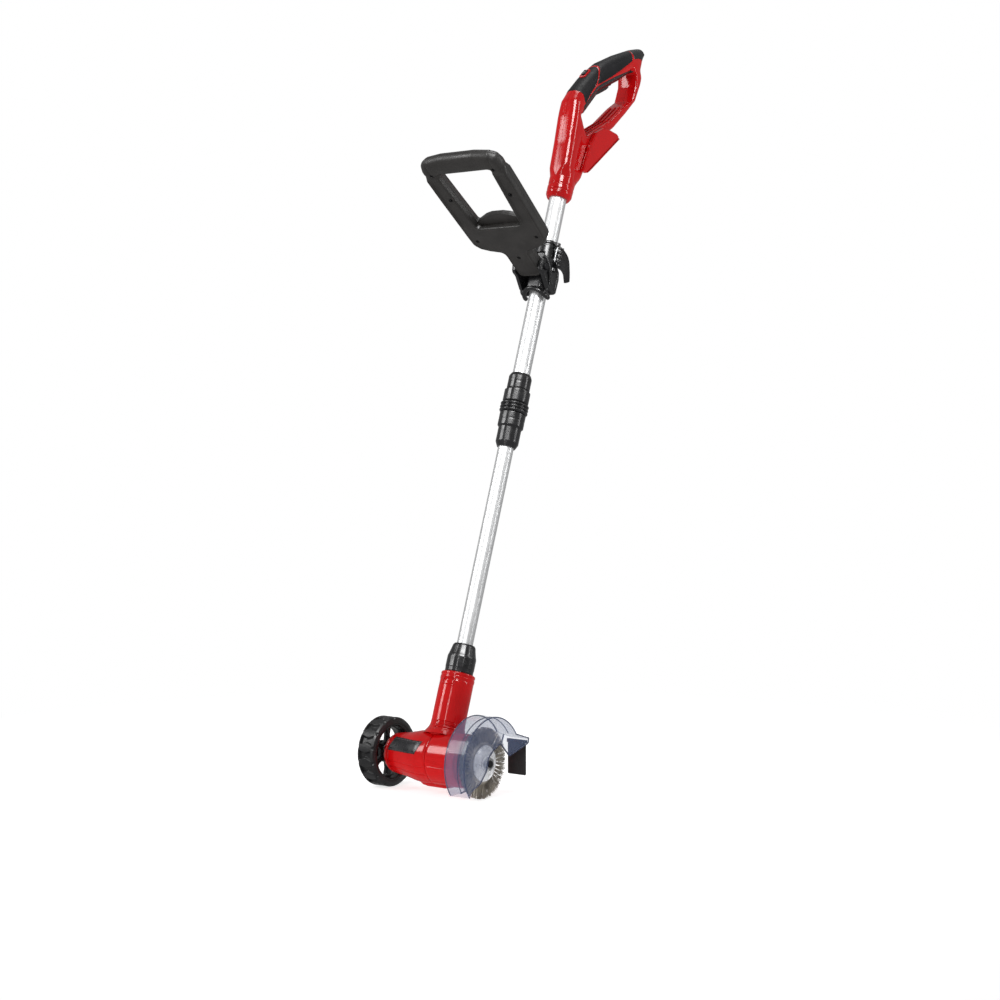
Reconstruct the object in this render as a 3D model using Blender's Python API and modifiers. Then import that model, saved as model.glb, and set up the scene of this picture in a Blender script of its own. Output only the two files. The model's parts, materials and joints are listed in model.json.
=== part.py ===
"""Cordless joint and edge brush on a telescopic pole, one object for each sub-part.

Metres, +Z up. X runs along the brush spindle (wheel at -X, brush at +X) and the operator
stands at +Y. The pole leans LEAN back towards the operator. The world origin is the middle
of the rear hand grip, which is what holds the tool up.
"""
import math

import bmesh
import bpy
from mathutils import Vector

# ---- clearances
GAP = 0.0003
RUN = 0.0004

# ---- overall layout
LEAN = math.radians(19.4)
GRIP_T = 0.060
GRIP_S = 1.108
WHEEL_R = 0.050
BRUSH_R = 0.050

# ---- stations along the spindle (X)
SEAM_X = 0.0
MOTOR_FRONT_X = -0.0265
MOTOR_END_X = -0.0885
NOSE_X = 0.0565
GUARD_WALL = 0.0025
GUARD_FACE_X = 0.0925
GUARD_R = 0.066
BARREL_R = 0.0382
BARREL_WALL = 0.0062
BARREL_BORE_R = BARREL_R - BARREL_WALL
MOTOR_R = 0.0180
SPINDLE_R = 0.0048
BEARING_R = 0.0110
FLANGE_R = 0.0250
WHEEL_W = 0.031
TYRE_BED_R = 0.0403
NOSE_SCREW_R = 0.0020
NOSE_SCREW_HEAD_R = 0.0036
NOSE_SCREW_PCR = 0.0225
AXLE_R = 0.0040

# ---- gears
MODULE = 0.0010
SUN_TEETH = 12
PLANET_TEETH = 18
RING_TEETH = 48
GEAR_X0 = -0.0200
GEAR_W = 0.0100
PIN_R = 0.0022

# ---- stations along the pole (S, from the spindle axis)
NECK_TOP_S = 0.1215
NECK_R = 0.0245
NECK_STUB_R = 0.0180
NECK_STUB_LEN = 0.0195
NECK_NUT_LEN = 0.0400
NECK_NUT_R = 0.0218
LOWER_R = 0.01165
UPPER_R = 0.01310
TUBE_WALL = 0.0011
LOWER_S0 = 0.0500
LOWER_S1 = 0.6400
UPPER_S0 = 0.5000
COUPLING_TOP_S = 0.5765
COUPLING_STEP_S = 0.5510
COUPLING_RIB_TOP_S = 0.5310
COUPLING_RIB_LOW_S = 0.5155
COUPLING_NUT_STEP_S = 0.4930
COUPLING_BOTTOM_S = 0.4625
COUPLING_SLIM_WALL = 0.0043
COUPLING_WIDE_WALL = 0.0067
COUPLING_RIB_WALL = 0.0079
SPIGOT_WALL = 0.0024
COUPLING_SLIM_R = UPPER_R + COUPLING_SLIM_WALL
COUPLING_WIDE_R = UPPER_R + COUPLING_WIDE_WALL
COUPLING_RIB_R = UPPER_R + COUPLING_RIB_WALL
SPIGOT_R = UPPER_R + SPIGOT_WALL

# ---- auxiliary handle
AUX_TILT = math.radians(19.2)
AUX_T = -0.0300
AUX_S = 0.7360
AUX_HALF_THICK = 0.0100
CLAMP_WALL = 0.0064
CLAMP_R = UPPER_R + CLAMP_WALL
CLAMP_S0 = 0.7080
CLAMP_S1 = 0.7880
EAR_X = 0.0150
PIVOT_R = 0.0030
LEVER_X = 0.0240
LEVER_T = -0.0085
LEVER_S0 = 0.7430
LEVER_S1 = 0.7780
LEVER_PIN_R = 0.0015

# ---- rear handle
HANDLE_HALF = 0.0190
HANDLE_ROUND = 0.0085
HANDLE_S = 0.8610
SOCKET_DEPTH = 0.0440
SOCKET_R = UPPER_R + GAP
TRIGGER_HALF = 0.0075
DOCK_HALF = 0.0260

ALONG_X = (0.0, math.pi / 2, 0.0)
SIDE = (math.pi / 2, 0.0, math.pi / 2)

RED = (0.62, 0.008, 0.012, 1.0)
BLACK = (0.012, 0.012, 0.014, 1.0)
GREY = (0.035, 0.036, 0.040, 1.0)
STEEL = (0.55, 0.56, 0.57, 1.0)
ALLOY = (0.80, 0.81, 0.82, 1.0)
SMOKE = (0.30, 0.36, 0.46, 0.35)


def clear_scene():
    for obj in list(bpy.data.objects):
        bpy.data.objects.remove(obj, do_unlink=True)


def collection(name):
    found = bpy.data.collections.get(name)
    if found is None:
        found = bpy.data.collections.new(name)
        bpy.context.scene.collection.children.link(found)
    return found


clear_scene()
PARTS = collection("joint_brush")
CUTTERS = collection("cutters")


def empty(name, loc, rot, parent=None):
    obj = bpy.data.objects.new(name, None)
    obj.empty_display_size = 0.03
    obj.location = loc
    obj.rotation_euler = rot
    obj.parent = parent
    PARTS.objects.link(obj)
    return obj


def pole_to_world(t, s):
    """World Y and Z offsets of a point t across and s along the pole."""
    y = t * math.cos(LEAN) + s * math.sin(LEAN)
    z = -t * math.sin(LEAN) + s * math.cos(LEAN)
    return Vector((0.0, y, z))


AXLE = -pole_to_world(GRIP_T, GRIP_S)
HEAD = empty("head_frame", AXLE, (0, 0, 0))
POLE = empty("pole_frame", AXLE, (-LEAN, 0, 0))


def material(name, colour, rough, metal):
    mat = bpy.data.materials.new(name)
    mat.use_nodes = True
    shader = mat.node_tree.nodes["Principled BSDF"]
    shader.inputs["Base Color"].default_value = colour
    shader.inputs["Roughness"].default_value = rough
    shader.inputs["Metallic"].default_value = metal
    shader.inputs["Alpha"].default_value = colour[3]
    return mat


def dress(obj, look):
    colour, rough, metal = look
    obj.data.materials.clear()
    obj.data.materials.append(material(obj.name, colour, rough, metal))
    obj.data.shade_smooth()
    obj.data.set_sharp_from_angle(angle=math.radians(35))
    return obj


LOOK_RED = (RED, 0.28, 0.0)
LOOK_BLACK = (BLACK, 0.42, 0.0)
LOOK_RUBBER = (BLACK, 0.75, 0.0)
LOOK_GREY = (GREY, 0.5, 0.0)
LOOK_STEEL = (STEEL, 0.3, 1.0)
LOOK_ALLOY = (ALLOY, 0.32, 1.0)
LOOK_SMOKE = (SMOKE, 0.15, 0.0)


def link(name, mesh, parent, loc, rot, look):
    """Link a mesh as a visible part, or as a cutter when look is None."""
    obj = bpy.data.objects.new(name, mesh)
    obj.parent = parent
    obj.location = loc
    obj.rotation_euler = rot
    if look is None:
        CUTTERS.objects.link(obj)
        obj.hide_render = True
        obj.display_type = "WIRE"
    else:
        PARTS.objects.link(obj)
        dress(obj, look)
    return obj


def turned(name, profile, steps, parent, look, loc=(0, 0, 0), rot=(0, 0, 0), closed=True):
    """Turn (axial, radius) points round local Z. A closed profile makes a ring."""
    area = 0.0
    count = len(profile)
    for i in range(count):
        a0, r0 = profile[i]
        a1, r1 = profile[(i + 1) % count]
        area += r0 * a1 - r1 * a0
    points = list(profile)
    if area > 0:
        points.reverse()
    if not closed and points[0][0] < points[-1][0]:
        points.reverse()
    bm = bmesh.new()
    verts = [bm.verts.new((r, 0.0, a)) for a, r in points]
    for first, second in zip(verts, verts[1:]):
        bm.edges.new((first, second))
    if closed:
        bm.edges.new((verts[-1], verts[0]))
    mesh = bpy.data.meshes.new(name)
    bm.to_mesh(mesh)
    bm.free()
    obj = link(name, mesh, parent, loc, rot, look)
    screw = obj.modifiers.new("Turn", "SCREW")
    screw.axis = "Z"
    screw.angle = 2 * math.pi
    screw.steps = steps
    screw.render_steps = steps
    screw.use_merge_vertices = True
    screw.merge_threshold = 0.00001
    screw.use_smooth_shade = True
    return obj


def spin(name, profile, steps, look, closed=True):
    """A piece turned about the spindle axis in the head frame."""
    return turned(name, profile, steps, HEAD, look, rot=ALONG_X, closed=closed)


def sleeve(name, profile, steps, look, closed=True, t=0.0):
    """A piece turned about the pole axis, or about a line t away from it."""
    return turned(name, profile, steps, POLE, look, loc=(0, t, 0), closed=closed)


def outline(name, rings, half, parent, look, loc=(0, 0, 0), rot=SIDE):
    """A flat outline, with its holes, drawn as a 2D curve and thickened both ways."""
    curve = bpy.data.curves.new(name, "CURVE")
    curve.dimensions = "2D"
    curve.fill_mode = "BOTH"
    curve.extrude = half
    for ring in rings:
        spline = curve.splines.new("POLY")
        spline.points.add(len(ring) - 1)
        spline.use_cyclic_u = True
        for point, (x, y) in zip(spline.points, ring):
            point.co = (x, y, 0.0, 1.0)
    drawn = bpy.data.objects.new(name + "_drawn", curve)
    PARTS.objects.link(drawn)
    bpy.context.view_layer.update()
    graph = bpy.context.evaluated_depsgraph_get()
    mesh = bpy.data.meshes.new_from_object(drawn.evaluated_get(graph))
    bpy.data.objects.remove(drawn, do_unlink=True)
    bm = bmesh.new()
    bm.from_mesh(mesh)
    bmesh.ops.remove_doubles(bm, verts=bm.verts, dist=0.000001)
    bmesh.ops.dissolve_limit(bm, angle_limit=0.001, verts=bm.verts, edges=bm.edges)
    bmesh.ops.recalc_face_normals(bm, faces=bm.faces)
    bm.to_mesh(mesh)
    bm.free()
    mesh.name = name
    return link(name, mesh, parent, loc, rot, look)


def box(name, low, high, parent, look, rot=(0, 0, 0), loc=None):
    """A box from its low and high corners in the parent's frame, or about loc."""
    low = Vector(low)
    high = Vector(high)
    mid = (low + high) / 2
    bm = bmesh.new()
    bmesh.ops.create_cube(bm, size=1.0)
    bmesh.ops.scale(bm, vec=high - low, verts=bm.verts)
    if loc is not None:
        bmesh.ops.translate(bm, vec=mid, verts=bm.verts)
        mid = Vector(loc)
    mesh = bpy.data.meshes.new(name)
    bm.to_mesh(mesh)
    bm.free()
    return link(name, mesh, parent, mid, rot, look)


def rod(name, radius, start, end, parent, look, segments=24):
    """A plain cylinder between two points of the parent's frame."""
    start = Vector(start)
    end = Vector(end)
    span = end - start
    bm = bmesh.new()
    bmesh.ops.create_cone(bm, cap_ends=True, segments=segments,
                          radius1=radius, radius2=radius, depth=span.length)
    mesh = bpy.data.meshes.new(name)
    bm.to_mesh(mesh)
    bm.free()
    obj = link(name, mesh, parent, (start + end) / 2, (0, 0, 0), look)
    obj.rotation_euler = span.to_track_quat("Z", "Y").to_euler()
    return obj


def boolean(obj, other, operation):
    mod = obj.modifiers.new(operation.title(), "BOOLEAN")
    mod.operation = operation
    mod.solver = "EXACT"
    mod.object = other
    return obj


def cut(obj, *others):
    for other in others:
        boolean(obj, other, "DIFFERENCE")
    return obj


def add(obj, *others):
    for other in others:
        boolean(obj, other, "UNION")
    return obj


def keep(obj, other):
    return boolean(obj, other, "INTERSECT")


def bevel(obj, width, segments=2, angle=30):
    mod = obj.modifiers.new("Bevel", "BEVEL")
    mod.width = width
    mod.segments = segments
    mod.limit_method = "ANGLE"
    mod.angle_limit = math.radians(angle)
    mod.use_clamp_overlap = True
    return obj


def arc(radius, start, end, count, centre=(0.0, 0.0)):
    """Points on a circle from start to end degrees."""
    points = []
    for i in range(count + 1):
        turn = math.radians(start + (end - start) * i / count)
        points.append((centre[0] + radius * math.cos(turn), centre[1] + radius * math.sin(turn)))
    return points


def mm(pairs):
    return [(a / 1000.0, b / 1000.0) for a, b in pairs]


def grown(ring, by):
    """The ring with every side moved outwards by the same distance."""
    count = len(ring)
    area = sum(ring[i - 1][0] * ring[i][1] - ring[i][0] * ring[i - 1][1] for i in range(count))
    side = by if area > 0 else -by
    moved = []
    for i in range(count):
        before = Vector(ring[i]) - Vector(ring[i - 1])
        after = Vector(ring[(i + 1) % count]) - Vector(ring[i])
        first = Vector((before.y, -before.x)).normalized()
        second = Vector((after.y, -after.x)).normalized()
        corner = first + second
        corner *= side / (corner.length_squared / 2)
        moved.append((ring[i][0] + corner.x, ring[i][1] + corner.y))
    return moved


# ======================================================================
# Head: motor housing, gear housing, neck, and the black nose with its screws
# ======================================================================
SCREW_WAYS = []
SCREW_SEATS = []


def nose_screws():
    """Two screws that hold the nose and the guard's wall against the gear housing."""
    seat = NOSE_X + GAP + GUARD_WALL + GAP + 0.0012
    shank_end = NOSE_X - 0.0060
    top = seat + 0.0020
    for k, turn in enumerate((35, 145)):
        y = NOSE_SCREW_PCR * math.cos(math.radians(turn))
        z = NOSE_SCREW_PCR * math.sin(math.radians(turn))
        turned("nose_screw_%d" % (k + 1), [
            (shank_end, 0.0), (shank_end, NOSE_SCREW_R), (seat + GAP, NOSE_SCREW_R),
            (seat + GAP, NOSE_SCREW_HEAD_R), (top, NOSE_SCREW_HEAD_R), (top, 0.0),
        ], 16, HEAD, LOOK_STEEL, loc=(0, y, z), rot=ALONG_X, closed=False)
        SCREW_WAYS.append(rod("nose_screw_way_%d" % k, NOSE_SCREW_R + GAP,
                              (shank_end - 0.0010, y, z), (seat + 0.010, y, z), HEAD, None, 16))
        SCREW_SEATS.append(rod("nose_screw_seat_%d" % k, NOSE_SCREW_HEAD_R + GAP,
                               (seat, y, z), (seat + 0.010, y, z), HEAD, None, 16))


def build_housings():
    wall_x = MOTOR_END_X + 0.004
    motor = spin("motor_housing", [
        (SEAM_X - GAP / 2, BARREL_R), (-0.020, BARREL_R - 0.0002), (-0.032, BARREL_R - 0.0018),
        (-0.054, BARREL_R - 0.0064), (-0.076, BARREL_R - 0.0095), (-0.083, BARREL_R - 0.0120),
        (-0.0872, BARREL_R - 0.0162), (MOTOR_END_X, BARREL_R - 0.0212), (MOTOR_END_X, AXLE_R + GAP), (wall_x, AXLE_R + GAP),
        (wall_x, MOTOR_R + 0.0015), (-0.070, MOTOR_R + 0.0030), (-0.050, BARREL_R - 0.0120),
        (MOTOR_FRONT_X - 0.001, BARREL_BORE_R), (SEAM_X - GAP / 2, BARREL_BORE_R),
    ], 32, LOOK_RED)
    gear = spin("gear_housing", [
        (SEAM_X + GAP / 2, BARREL_R), (0.040, BARREL_R - 0.0003), (0.0510, BARREL_R - 0.0014),
        (NOSE_X, BARREL_R - 0.0047), (NOSE_X, 0.0165), (0.0470, 0.0165), (0.0470, BARREL_BORE_R),
        (SEAM_X + GAP / 2, BARREL_BORE_R),
    ], 32, LOOK_RED)
    boss_x = SEAM_X + 0.0090
    boss = rod("boss_solid", 0.0075, (boss_x, 0.004, -BARREL_R - 0.0015),
               (boss_x, 0.004, -BARREL_R + 0.0040), HEAD, None, 16)
    boss_way = rod("boss_way", 0.0028, (boss_x, 0.004, -BARREL_R - 0.0040),
                   (boss_x, 0.004, -BARREL_R + 0.0035), HEAD, None, 12)
    cable = rod("cable_way", 0.0040, (0, 0, 0.020), (0, 0, 0.060), POLE, None, 12)
    add(gear, boss)
    cut(gear, boss_way, cable, *SCREW_WAYS)
    cut(motor, cable)

    stub_top = NECK_TOP_S + NECK_STUB_LEN
    neck = sleeve("neck", [
        (stub_top, 0.0), (stub_top, NECK_STUB_R), (NECK_TOP_S, NECK_STUB_R),
        (NECK_TOP_S, NECK_R - 0.0010), (NECK_TOP_S - 0.002, NECK_R + 0.0003),
        (0.090, NECK_R), (0.055, NECK_R + 0.0002), (0.042, NECK_R + 0.0015),
        (0.030, NECK_R + 0.0030), (0.018, NECK_R + 0.0030), (0.018, 0.0),
    ], 32, LOOK_RED, closed=False)
    saddle = rod("neck_saddle", BARREL_R + GAP, (-0.06, 0, 0), (0.06, 0, 0), HEAD, None, 48)
    neck_bore = rod("neck_bore", LOWER_R + GAP, (0, 0, LOWER_S0 - 0.003), (0, 0, 0.15),
                    POLE, None, 32)
    cut(neck, saddle, neck_bore, cable)

    face_x = NOSE_X + GAP + GUARD_WALL + GAP
    nose = spin("gearbox_nose", [
        (face_x, 0.0270), (face_x + 0.0015, 0.0290), (face_x + 0.0035, 0.0270),
        (face_x + 0.0040, SPINDLE_R + 0.0030), (0.0560, SPINDLE_R + 0.0030),
        (0.0560, BEARING_R + GAP), (0.0475, BEARING_R + GAP), (0.0475, 0.0162),
        (face_x, 0.0162),
    ], 32, LOOK_BLACK)
    cut(nose, *SCREW_WAYS, *SCREW_SEATS)
    spin("output_bearing", [
        (0.0483, SPINDLE_R + GAP), (0.0553, SPINDLE_R + GAP), (0.0553, BEARING_R),
        (0.0483, BEARING_R),
    ], 24, LOOK_STEEL)
    rod("housing_screw", 0.0024, (boss_x, 0.004, -BARREL_R - 0.0010),
        (boss_x, 0.004, -BARREL_R + 0.0030), HEAD, LOOK_STEEL, 12)

    plate = spin("name_plate", [
        (-0.022, BARREL_R + 0.00045), (-0.022, BARREL_R + 0.00125),
        (-0.032, BARREL_R - 0.00055), (-0.054, BARREL_R - 0.00515),
        (-0.070, BARREL_R - 0.00745), (-0.070, BARREL_R - 0.00825),
        (-0.054, BARREL_R - 0.00595), (-0.032, BARREL_R - 0.00135),
    ], 32, LOOK_BLACK)
    skew = outline("plate_shape", [mm([(-25, 11), (-70, 11), (-67, 28), (-33, 28)])], 0.03, HEAD,
                   None, loc=(0, -0.03, 0), rot=(math.pi / 2, 0, 0))
    keep(plate, skew)


def build_motor():
    back = MOTOR_END_X + 0.0090
    front = MOTOR_FRONT_X
    spin("motor_can", [
        (back, 0.0150), (back + 0.002, MOTOR_R), (front - 0.001, MOTOR_R), (front, 0.0170),
        (front, 0.0030), (back, 0.0030),
    ], 24, LOOK_STEEL)
    plate = front + GAP
    spin("gearbox_plate", [
        (plate, 0.0090), (plate, BARREL_BORE_R - GAP), (plate + 0.0030, BARREL_BORE_R - GAP),
        (plate + 0.0030, 0.0090),
    ], 32, LOOK_STEEL)
    rod("motor_shaft", 0.0022, (back - 0.0020, 0, 0), (GEAR_X0 + 0.0105, 0, 0), HEAD,
        LOOK_STEEL, 12)


# ======================================================================
# Planetary reduction
# ======================================================================
def gear_ring(teeth, tip, root, phase=0.0):
    """Trapezoid teeth as a closed ring of points, with a tooth centred on the phase."""
    points = []
    pitch = 2 * math.pi / teeth
    root_half = 0.30
    tip_half = 0.13
    for k in range(teeth):
        centre = pitch * k + phase
        marks = ((-root_half, root), (-tip_half, tip), (tip_half, tip), (root_half, root))
        for share, radius in marks:
            turn = centre + share * pitch
            points.append((radius * math.cos(turn), radius * math.sin(turn)))
    return points


def circle(radius, count):
    return arc(radius, 0, 360 - 360 / count, count - 1)


def build_gears():
    add_len = 0.80 * MODULE
    dip = 1.05 * MODULE
    sun_r = SUN_TEETH * MODULE / 2
    planet_r = PLANET_TEETH * MODULE / 2
    ring_r = RING_TEETH * MODULE / 2
    orbit = sun_r + planet_r
    mid = GEAR_X0 + GEAR_W / 2

    sun = gear_ring(SUN_TEETH, sun_r + add_len, sun_r - dip)
    outline("motor_pinion", [sun, circle(0.0022 + GAP, 12)], GEAR_W / 2, HEAD, LOOK_STEEL,
            loc=(mid, 0, 0))
    for k in range(3):
        around = 2 * math.pi * k / 3
        # a tooth space of the planet faces the sun's tooth on the line of centres
        phase = around + math.pi + math.pi / PLANET_TEETH
        ring = gear_ring(PLANET_TEETH, planet_r + add_len, planet_r - dip, phase)
        centre = (orbit * math.cos(around), orbit * math.sin(around))
        outline("planet_gear_%d" % (k + 1), [ring, circle(PIN_R + GAP, 12)],
                GEAR_W / 2 - 0.0004, HEAD, LOOK_STEEL, loc=(mid, centre[0], centre[1]))
    # the ring has a tooth on each line of centres, since three divides its tooth count
    teeth = gear_ring(RING_TEETH, ring_r - add_len, ring_r + dip)
    outline("ring_gear", [circle(BARREL_BORE_R - GAP, 32), teeth], GEAR_W / 2 + 0.0010, HEAD,
            LOOK_GREY, loc=(mid, 0, 0))

    disc_x = GEAR_X0 + GEAR_W + 0.0015
    carrier = spin("planet_carrier", [
        (disc_x, SPINDLE_R + GAP), (disc_x, 0.0200), (disc_x + 0.0040, 0.0200),
        (disc_x + 0.0070, 0.0100), (disc_x + 0.0100, 0.0095), (disc_x + 0.0100, SPINDLE_R + GAP),
    ], 24, LOOK_STEEL)
    for k in range(3):
        around = 2 * math.pi * k / 3
        y = orbit * math.cos(around)
        z = orbit * math.sin(around)
        pin = rod("carrier_pin_%d" % k, PIN_R, (GEAR_X0 - 0.0005, y, z), (disc_x + 0.002, y, z),
                  HEAD, None, 12)
        add(carrier, pin)


# ======================================================================
# Brush
# ======================================================================
def build_brush():
    x = NOSE_X + GAP + GUARD_WALL + GAP + 0.0040 + RUN
    spin("spindle_flange", [
        (x, SPINDLE_R + GAP), (x, 0.0150), (x + 0.0025, 0.0170), (x + 0.0040, 0.0170),
        (x + 0.0040, SPINDLE_R + GAP),
    ], 24, LOOK_STEEL)
    x += 0.0040 + GAP
    spin("brush_plate_inner", [
        (x, SPINDLE_R + GAP), (x, 0.0180), (x + 0.0006, FLANGE_R), (x + 0.0022, FLANGE_R),
        (x + 0.0016, 0.0180), (x + 0.0016, SPINDLE_R + GAP),
    ], 32, LOOK_STEEL)
    x += 0.0022 + GAP
    spin("wire_bristles", [
        (x, 0.0120), (x, 0.0260), (x - 0.0012, 0.0400), (x - 0.0018, BRUSH_R - 0.001),
        (x + 0.0025, BRUSH_R), (x + 0.0065, BRUSH_R - 0.001), (x + 0.0058, 0.0400),
        (x + 0.0050, 0.0260), (x + 0.0050, 0.0120),
    ], 40, LOOK_GREY)
    x += 0.0050 + GAP
    spin("brush_plate_outer", [
        (x + 0.0006, SPINDLE_R + GAP), (x + 0.0006, 0.0170), (x, 0.0190), (x, FLANGE_R),
        (x + 0.0016, FLANGE_R), (x + 0.0024, 0.0190), (x + 0.0040, 0.0150),
        (x + 0.0040, SPINDLE_R + GAP),
    ], 32, LOOK_STEEL)
    x += 0.0040 + GAP
    spin("brush_washer", [
        (x, SPINDLE_R + GAP), (x, 0.0110), (x + 0.0016, 0.0110), (x + 0.0016, SPINDLE_R + GAP),
    ], 24, LOOK_STEEL)
    x += 0.0016 + GAP
    hex_bore = (SPINDLE_R + GAP) / math.cos(math.pi / 6)
    spin("brush_nut", [
        (x, hex_bore), (x, 0.0094), (x + 0.0045, 0.0094), (x + 0.0045, hex_bore),
    ], 6, LOOK_STEEL)
    rod("output_spindle", SPINDLE_R, (GEAR_X0 + GEAR_W + 0.0010, 0, 0),
        (x + 0.0058, 0, 0), HEAD, LOOK_STEEL, 24)


# ======================================================================
# Wheel
# ======================================================================
def build_wheel():
    inner = MOTOR_END_X + 0.0045
    outer = inner - WHEEL_W
    spin("wheel_tyre", [
        (outer, 0.0440), (outer + 0.0015, 0.0483), (outer + 0.0050, WHEEL_R),
        (inner - 0.0050, WHEEL_R), (inner - 0.0015, 0.0483), (inner, 0.0440),
        (inner - 0.0008, TYRE_BED_R + GAP), (outer + 0.0008, TYRE_BED_R + GAP),
    ], 48, LOOK_RUBBER)
    web = (inner + outer) / 2
    hub_in = MOTOR_END_X - GAP - 0.0006
    hub_out = outer + 0.0075
    rim = spin("wheel_rim", [
        (hub_out, AXLE_R + GAP), (hub_in, AXLE_R + GAP), (hub_in, 0.0120),
        (web + 0.0025, 0.0125), (web + 0.0025, 0.0362), (inner - 0.0012, 0.0362),
        (inner - 0.0012, TYRE_BED_R), (outer + 0.0012, TYRE_BED_R), (outer + 0.0012, 0.0362),
        (web - 0.0025, 0.0362), (web - 0.0025, 0.0125), (hub_out, 0.0120),
    ], 36, LOOK_BLACK)
    for k in range(6):
        start = 60 * k + 9
        window = arc(0.0335, start, start + 42, 4) + arc(0.0160, start + 36, start + 6, 2)
        cut(rim, outline("wheel_window_%d" % k, [window], 0.006, HEAD, None, loc=(web, 0, 0)))
    wall_x = MOTOR_END_X + 0.004
    spin("wheel_axle", [
        (wall_x + GAP + 0.0025, 0.0), (wall_x + GAP + 0.0025, 0.0070), (wall_x + GAP, 0.0070),
        (wall_x + GAP, AXLE_R), (hub_out - 0.0039, AXLE_R), (hub_out - 0.0039, 0.0),
    ], 24, LOOK_STEEL, closed=False)
    hex_bore = (AXLE_R + GAP) / math.cos(math.pi / 6)
    spin("axle_nut", [
        (hub_out - GAP, hex_bore), (hub_out - GAP, 0.0078), (hub_out - 0.0038, 0.0078),
        (hub_out - 0.0038, hex_bore),
    ], 6, LOOK_STEEL)
    cap_x = outer + 0.0014
    spin("hub_cap", [
        (cap_x, 0.0), (cap_x, 0.0120), (cap_x + 0.0020, 0.0150), (hub_out - 0.0002, 0.0150),
        (hub_out - 0.0002, 0.0126), (cap_x + 0.0018, 0.0126), (cap_x + 0.0018, 0.0),
    ], 24, LOOK_BLACK, closed=False)


# ======================================================================
# Guard, splash flap and their clip
# ======================================================================
def build_guard():
    x0 = NOSE_X + GAP
    x1 = GUARD_FACE_X
    rin = GUARD_R - GUARD_WALL
    tail_y = 0.085
    tail_z = 0.0270
    rim_outer = arc(GUARD_R, 217, 33, 26)
    rim_inner = arc(rin, 33, 217, 26)
    strip = rim_outer + [(tail_y, tail_z), (tail_y, tail_z - GUARD_WALL)] + rim_inner
    guard = outline("brush_guard", [strip], (x1 - x0) / 2, HEAD, LOOK_SMOKE,
                    loc=((x0 + x1) / 2, 0, 0))
    rim = arc(GUARD_R - 0.0004, 217, 33, 26)
    inner_wall = rim + mm([(70, 30), (62, 12), (38, -14), (22, -34), (-30, -39.2)])
    wall = outline("guard_wall", [inner_wall, circle(0.0168, 32)], GUARD_WALL / 2, HEAD, None,
                   loc=(x0 + GUARD_WALL / 2, 0, 0))
    face = rim + mm([(84.5, 26.5), (84.0, 19.0), (70, 15.5), (38, 7.0), (18, 27.0), (2, 20.0),
                     (-10, 10.0), (-15, -8.0), (-28, -22.0), (-47, -30.0)])
    front = outline("guard_front", [face], GUARD_WALL / 2, HEAD, None,
                    loc=(x1 - GUARD_WALL / 2, 0, 0))
    add(guard, wall, front)
    cut(guard, *SCREW_WAYS)
    clip_y = tail_y - 0.0045
    strip_x0 = x0 + 0.002
    strip_x1 = x1 - GUARD_WALL - 0.001
    clip_z = tail_z - GUARD_WALL - 0.0006
    outline("flap_clip", [[(clip_y - 0.004, clip_z - 0.0055), (clip_y + 0.004, clip_z - 0.0055),
                           (clip_y + 0.004, clip_z - 0.0012), (clip_y - 0.004, clip_z)]],
            (strip_x1 - strip_x0) / 2, HEAD, LOOK_BLACK, loc=((strip_x0 + strip_x1) / 2, 0, 0))
    box("splash_flap", (strip_x0 - 0.001, clip_y - 0.0015, -0.0270),
        (strip_x1 + 0.0005, clip_y + 0.0015, clip_z - 0.0055 - GAP), HEAD, LOOK_RUBBER)


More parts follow.
